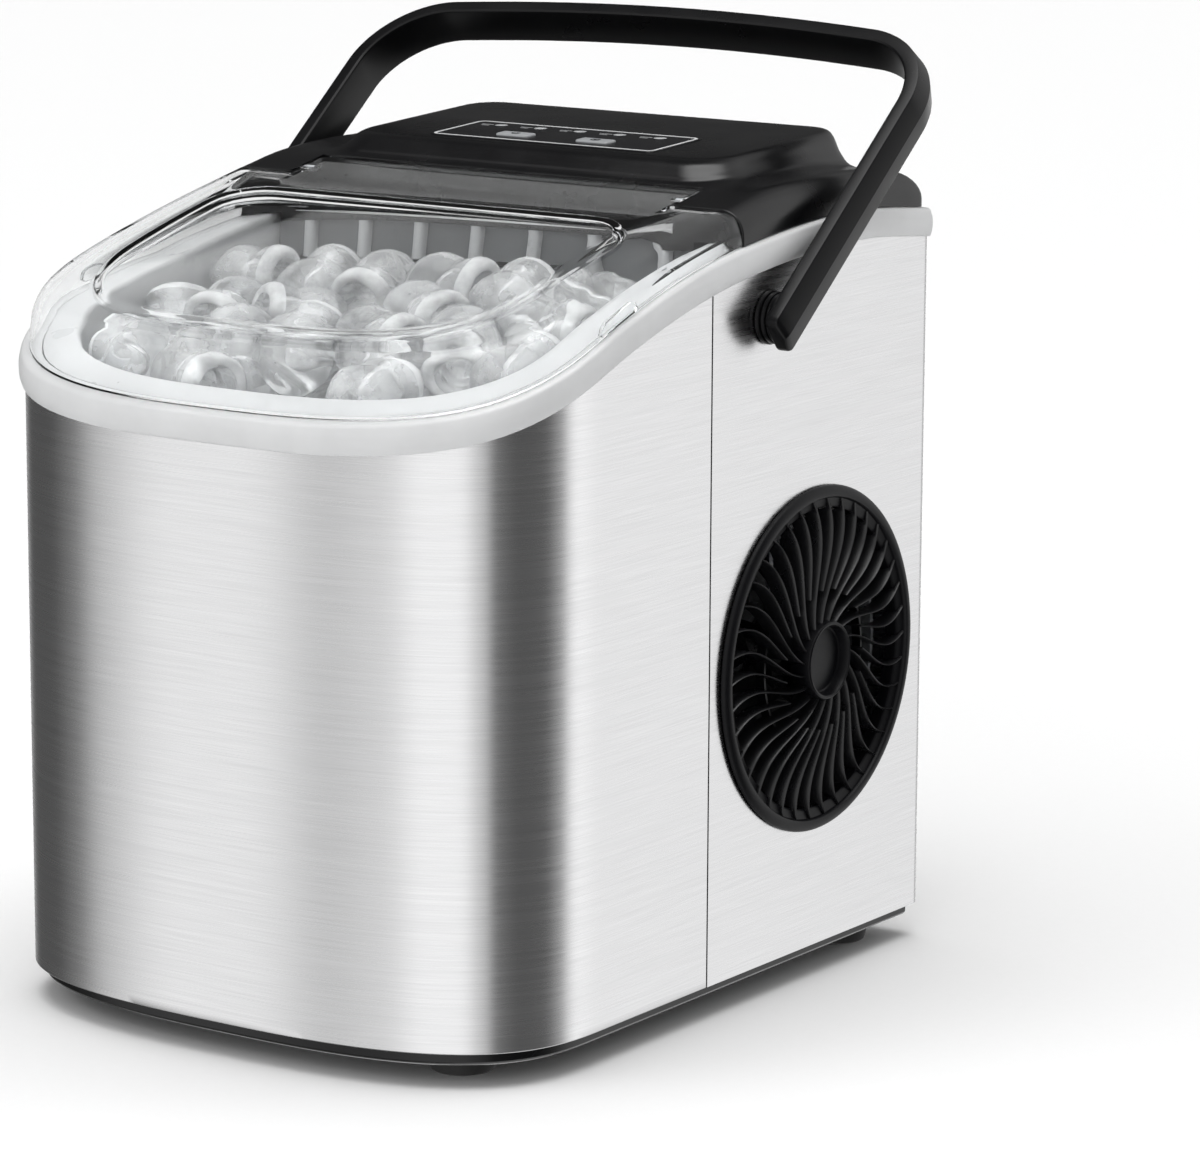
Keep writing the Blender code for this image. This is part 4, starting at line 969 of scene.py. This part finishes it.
def heap_ice():
    """Ball pairs dropped into the basket and settled: their places, one row for each piece."""
    chance = np.random.default_rng(7)
    count = ICE_COUNT
    pairs = np.zeros((count, 2, 3))
    pairs[:, 0, 0] = chance.uniform(-60, 60, count)
    pairs[:, 0, 1] = chance.uniform(-95, -25, count)
    pairs[:, 0, 2] = 85 + 300 * np.arange(count) / count
    turn = 0.75 * chance.normal(size=(count, 3)) + 1.3 * np.array(OPEN_WAY)
    pairs[:, 1] = pairs[:, 0] + SPACING * turn / np.linalg.norm(turn, axis=1, keepdims=True)
    radius = np.tile([DOME, MOUTH], count)
    reach = radius[:, None] + radius[None, :]
    owner = np.repeat(np.arange(count), 2)
    apart = owner[:, None] != owner[None, :]
    pull = np.array(Vector((0.0, 0.30, -1.0)).normalized())
    heights = np.linspace(-125, 0, 60)
    crests = np.array([lid_crest(y) for y in heights]) - LID_WALL - LIFT_ROOM

    def contain(balls, roof):
        z = balls[:, 2]
        share = np.clip((z - BASKET_FOOT) / BASKET_RISE, 0, 1)
        inset = np.where(z > BASKET_LIP, TANK_INSET + 1.0, 26.6 - 3.0 * share)
        half, depth = HALF_WIDTH - inset - radius, NOSE_DEPTH - inset - radius
        balls[:, 0] = np.clip(balls[:, 0], -half, half)
        ahead = np.maximum(NOSE_CENTRE - balls[:, 1], 0.0)
        over = (np.abs(balls[:, 0]) / half) ** NOSE_POWER + (ahead / depth) ** NOSE_POWER
        over = over ** (1 / NOSE_POWER)
        out = (over > 1) & (ahead > 0)
        balls[out, 0] /= over[out]
        balls[out, 1] = NOSE_CENTRE - ahead[out] / over[out]
        balls[:, 1] = np.minimum(balls[:, 1], ICE_REAR - radius)
        balls[:, 2] = np.maximum(balls[:, 2], BASKET_FLOOR + radius)
        if roof:
            balls[:, 2] = np.minimum(balls[:, 2], np.interp(balls[:, 1], heights, crests) - radius * 1.03)

    for step in range(SETTLE_STEPS):
        settle = 1.0 - step / SETTLE_STEPS
        pairs += pull * (0.06 + 3.2 * settle ** 1.5)
        for _ in range(3):
            balls = pairs.reshape(-1, 3)
            gap = balls[:, None, :] - balls[None, :, :]
            far = np.linalg.norm(gap, axis=2) + 1e-6
            push = np.where(apart & (far < reach), (reach - far) / far * 0.5, 0.0)
            balls = balls + (gap * push[:, :, None]).sum(1) * 0.45
            contain(balls, step > SETTLE_STEPS * ROOF_FROM)
            pairs = balls.reshape(-1, 2, 3)
            axis = pairs[:, 1] - pairs[:, 0]
            length = np.linalg.norm(axis, axis=1, keepdims=True) + 1e-6
            shift = axis * (length - SPACING) / length / 2
            # Rounded, so that a last digit that differs between runs can't settle another heap
            pairs = np.round(np.stack([pairs[:, 0] + shift, pairs[:, 1] - shift], axis=1), 4)
    kept = []
    for piece in sorted(pairs.tolist(), key=lambda pair: -max(pair[0][2], pair[1][2])):
        two = np.array(piece)
        near = [np.linalg.norm(two[:, None] - other[None], axis=2).min() for other in kept]
        if not near or min(near) > DOME + MOUTH - SINK:
            kept.append(two)
    return kept


def ice_profile():
    """Half section of a hollow ice bullet, from the dome's tip to the bottom of its hole."""
    dome = [(DOME * sin(a), -DOME * cos(a)) for a in np.linspace(0, radians(112), 9)]
    body = [(10.9, 6.8), (10.6, 8.4), (10.9, 10.0), (11.8, 11.6), (12.3, 13.2), (12.5, 15.2), (12.3, 17.2),
            (11.6, 18.8), (10.4, 19.7), (9.0, 19.9), (7.6, 19.4), (6.5, 18.2), (5.9, 16.4), (5.4, 12.0),
            (5.0, 7.0), (4.3, 3.2), (3.0, 1.0), (1.5, 0.2), (0, 0)]
    return [(0.0, -DOME)] + dome[1:] + body


def make_ice():
    chance = random.Random(11)
    points, rings = revolve(ice_profile(), ICE_SIDES)
    pattern = wrap(rings, ICE_SIDES)
    verts, faces = [], []
    for dome, mouth in heap_ice():
        if chance.random() < DOME_FIRST:
            dome, mouth = mouth, dome
        axis = Vector(mouth - dome).normalized()
        turn = axis.to_track_quat('Z', 'Y').to_matrix() @ Matrix.Rotation(chance.uniform(0, 6.28), 3, 'Z')
        size = chance.uniform(0.94, 1.0)
        base = len(verts)
        verts += [Vector(dome) + turn @ (Vector(point) * size) for point in points]
        faces += [[base + i for i in face] for face in pattern]
    ice = solid("ice_bullets", verts, faces, "ice", 70)
    ice.data.materials.append(FINISHES["frost"])
    rows = len(rings) - 1
    for face in ice.data.polygons:
        if FROST_ROWS[0] <= face.index // ICE_SIDES % rows <= FROST_ROWS[1]:
            face.material_index = 1
    fit(ice, "ice_basket")


# ---- CAD nodes that stay

KEPT = {
    "steel": ["rear_shell"],
    "black": ["intake_grille", "cord_gland", "drain_plug", "fan_rotor", "water_pump"],
    "grey": ["drain_spout", "ice_sensor_left", "ice_sensor_right", "start_relay", "fan_shroud",
             "tact_switch_left", "tact_switch_right"],
    "liner": ["water_tray"],
    "foam": ["tank_insulation"],
    "zinc": ["rear_screw_left", "rear_screw_right", "tray_shaft", "tray_motor", "compressor_mount",
             "hinge_pin_left", "hinge_pin_right", "pivot_pin_left", "pivot_pin_right"],
    "fins": ["evaporator", "condenser"],
    "pot": ["compressor", "fan_motor"],
    "copper": ["filter_drier", "discharge_line", "suction_line", "liquid_line"],
    "hose": ["pump_hose", "drain_hose"],
    "board": ["control_board"],
}


def dress_kept_nodes():
    for finish, names in KEPT.items():
        for name in names:
            mesh = frame["nodes"][name].data
            mesh.materials.clear()
            mesh.materials.append(FINISHES[finish])


# ---- studio

# Soft light round the object, below and above its own level: (degrees from the front towards the fan
# side, brightness). Steel walls mirror the low light; the black top and the lid mirror the high light.
FRONT_LIGHT = [(-112, 0.10), (-82, 0.10), (-68, 0.22), (-54, 0.78), (-40, 1.22), (-24, 0.72), (-8, 0.88),
               (12, 1.26), (34, 1.26), (48, 0.80), (62, 0.18), (80, 0.11), (106, 0.12), (119, 0.33),
               (133, 1.32), (152, 1.05), (180, 0.60)]
LOW_LIGHT = [(-180, 0.60), (-162, 0.95), (-142, 0.90), (-126, 0.35)] + FRONT_LIGHT
HIGH_LIGHT = [(-180, 0.60), (-164, 0.30), (-148, 0.08), (-130, 0.06)] + FRONT_LIGHT
HORIZON = (-0.06, 0.10)                 # the low light fades into the high light over these heights
OVERHEAD, OVERHEAD_RISE = 4.5, (0.86, 0.96)
KEY_PLACE, KEY_AIM = (-1.4, -1.6, 2.2), (0, 0, 0.2)     # metres
KEY_SIZE, KEY_POWER = (1.6, 1.2), 7.0
FLOOR_HALF = 8000.0


def make_studio():
    world = bpy.data.worlds.new("studio")
    bpy.context.scene.world = world
    world.use_nodes = True
    tree = world.node_tree
    tree.nodes.clear()

    def feed(socket, value):
        if isinstance(value, bpy.types.NodeSocket):
            tree.links.new(value, socket)
        else:
            socket.default_value = value

    def maths(operation, a, b):
        made = add_node(tree, "ShaderNodeMath", operation=operation)
        feed(made.inputs[0], a)
        feed(made.inputs[1], b)
        return made.outputs[0]

    def blended(factor, a, b, blend_type='MIX'):
        made = add_node(tree, "ShaderNodeMix", data_type='RGBA', blend_type=blend_type)
        for socket, value in ((MIX_FACTOR, factor), (MIX_A, a), (MIX_B, b)):
            feed(made.inputs[socket], value)
        return made.outputs[MIX_RESULT]

    coords = add_node(tree, "ShaderNodeTexCoord")
    parts = add_node(tree, "ShaderNodeSeparateXYZ")
    feed(parts.inputs[0], coords.outputs["Generated"])
    around = maths('ARCTAN2', parts.outputs["X"], maths('MULTIPLY', parts.outputs["Y"], -1.0))
    share = maths('ADD', maths('DIVIDE', around, 2 * pi), 0.5)

    def ring_light(levels):
        ramp = add_node(tree, "ShaderNodeValToRGB")
        ramp.color_ramp.interpolation = 'EASE'
        stops = ramp.color_ramp.elements
        stops.remove(stops[1])
        stops[0].position = 0.0
        stops[0].color = grey(levels[0][1])
        for angle, level in levels[1:]:
            stops.new((angle + 180) / 360).color = grey(level)
        feed(ramp.inputs[0], share)
        return ramp.outputs["Color"]

    def climb(low, high):
        lift = add_node(tree, "ShaderNodeMapRange", interpolation_type='SMOOTHSTEP')
        set_up(lift, From_Min=low, From_Max=high)
        feed(lift.inputs["Value"], parts.outputs["Z"])
        return lift.outputs["Result"]

    level = blended(climb(*HORIZON), ring_light(LOW_LIGHT), ring_light(HIGH_LIGHT))
    sky = blended(climb(*OVERHEAD_RISE), level, grey(OVERHEAD))
    # What shows through the clear lid and the ice is at least as bright as the paper behind the object
    path = add_node(tree, "ShaderNodeLightPath")
    clear = maths('ADD', maths('MINIMUM', path.outputs["Diffuse Depth"], 1.0), 1.0)
    studio = add_node(tree, "ShaderNodeBackground")
    feed(studio.inputs["Color"], blended(path.outputs["Is Transmission Ray"], sky, clear, 'LIGHTEN'))
    paper = add_node(tree, "ShaderNodeBackground", Color=grey(1.0))
    mix = add_node(tree, "ShaderNodeMixShader")
    for socket, value in enumerate((path.outputs["Is Camera Ray"], studio.outputs[0], paper.outputs[0])):
        feed(mix.inputs[socket], value)
    feed(add_node(tree, "ShaderNodeOutputWorld").inputs[0], mix.outputs[0])


def make_key_light():
    light = bpy.data.lights.new("key_light", 'AREA')
    light.shape = 'RECTANGLE'
    light.size, light.size_y = KEY_SIZE
    light.energy = KEY_POWER
    obj = bpy.data.objects.new("key_light", light)
    obj.location = KEY_PLACE
    obj.rotation_euler = (Vector(KEY_AIM) - Vector(KEY_PLACE)).to_track_quat('-Z', 'Y').to_euler()
    bpy.context.scene.collection.objects.link(obj)


def make_floor():
    paper = Finish("floor_paper", (0.83, 0.83, 0.83), 0.75)
    fibre = paper.noise(300.0)
    paper.tint(fibre, 0.006)
    paper.matt(fibre, 0.04)
    corners = [(x * FLOOR_HALF, y * FLOOR_HALF, 0) for x, y in ((-1, -1), (1, -1), (1, 1), (-1, 1))]
    FINISHES["paper"] = paper.mat
    floor = solid("floor", corners, [(0, 1, 2, 3)], "paper")
    floor.visible_glossy = False


# The photograph's viewing angle, round a point near the housing's middle
VIEW_AZIMUTH = radians(35.72)
VIEW_ELEVATION = radians(11.72)
VIEW_TARGET = (0.0, 15.9, 130.2)
VIEW_DISTANCE = 1819.4
LENS = 156.4
LENS_SHIFT = (0.1011, 0.0115)


def make_camera():
    a, e = VIEW_AZIMUTH, VIEW_ELEVATION
    back = Vector((sin(a) * cos(e), -cos(a) * cos(e), sin(e)))
    data = bpy.data.cameras.new("camera")
    data.lens = LENS
    data.sensor_width = 36.0
    data.shift_x, data.shift_y = LENS_SHIFT
    data.clip_end = 60.0
    camera = bpy.data.objects.new("camera", data)
    camera.location = place(VIEW_TARGET) + back * VIEW_DISTANCE * MM
    camera.rotation_euler = (pi / 2 - e, 0.0, a)
    bpy.context.scene.collection.objects.link(camera)
    bpy.context.scene.camera = camera


# ---- assembly

def main():
    make_finishes()
    for make in (make_steel, make_base, make_rim, make_tank, make_basket, make_pusher, make_grille,
                 make_cover, make_panel, make_lid, make_handle, make_ice, dress_kept_nodes):
        make()
    make_floor()
    make_studio()
    make_key_light()
    make_camera()
    bpy.context.scene.view_settings.view_transform = 'Standard'


main()
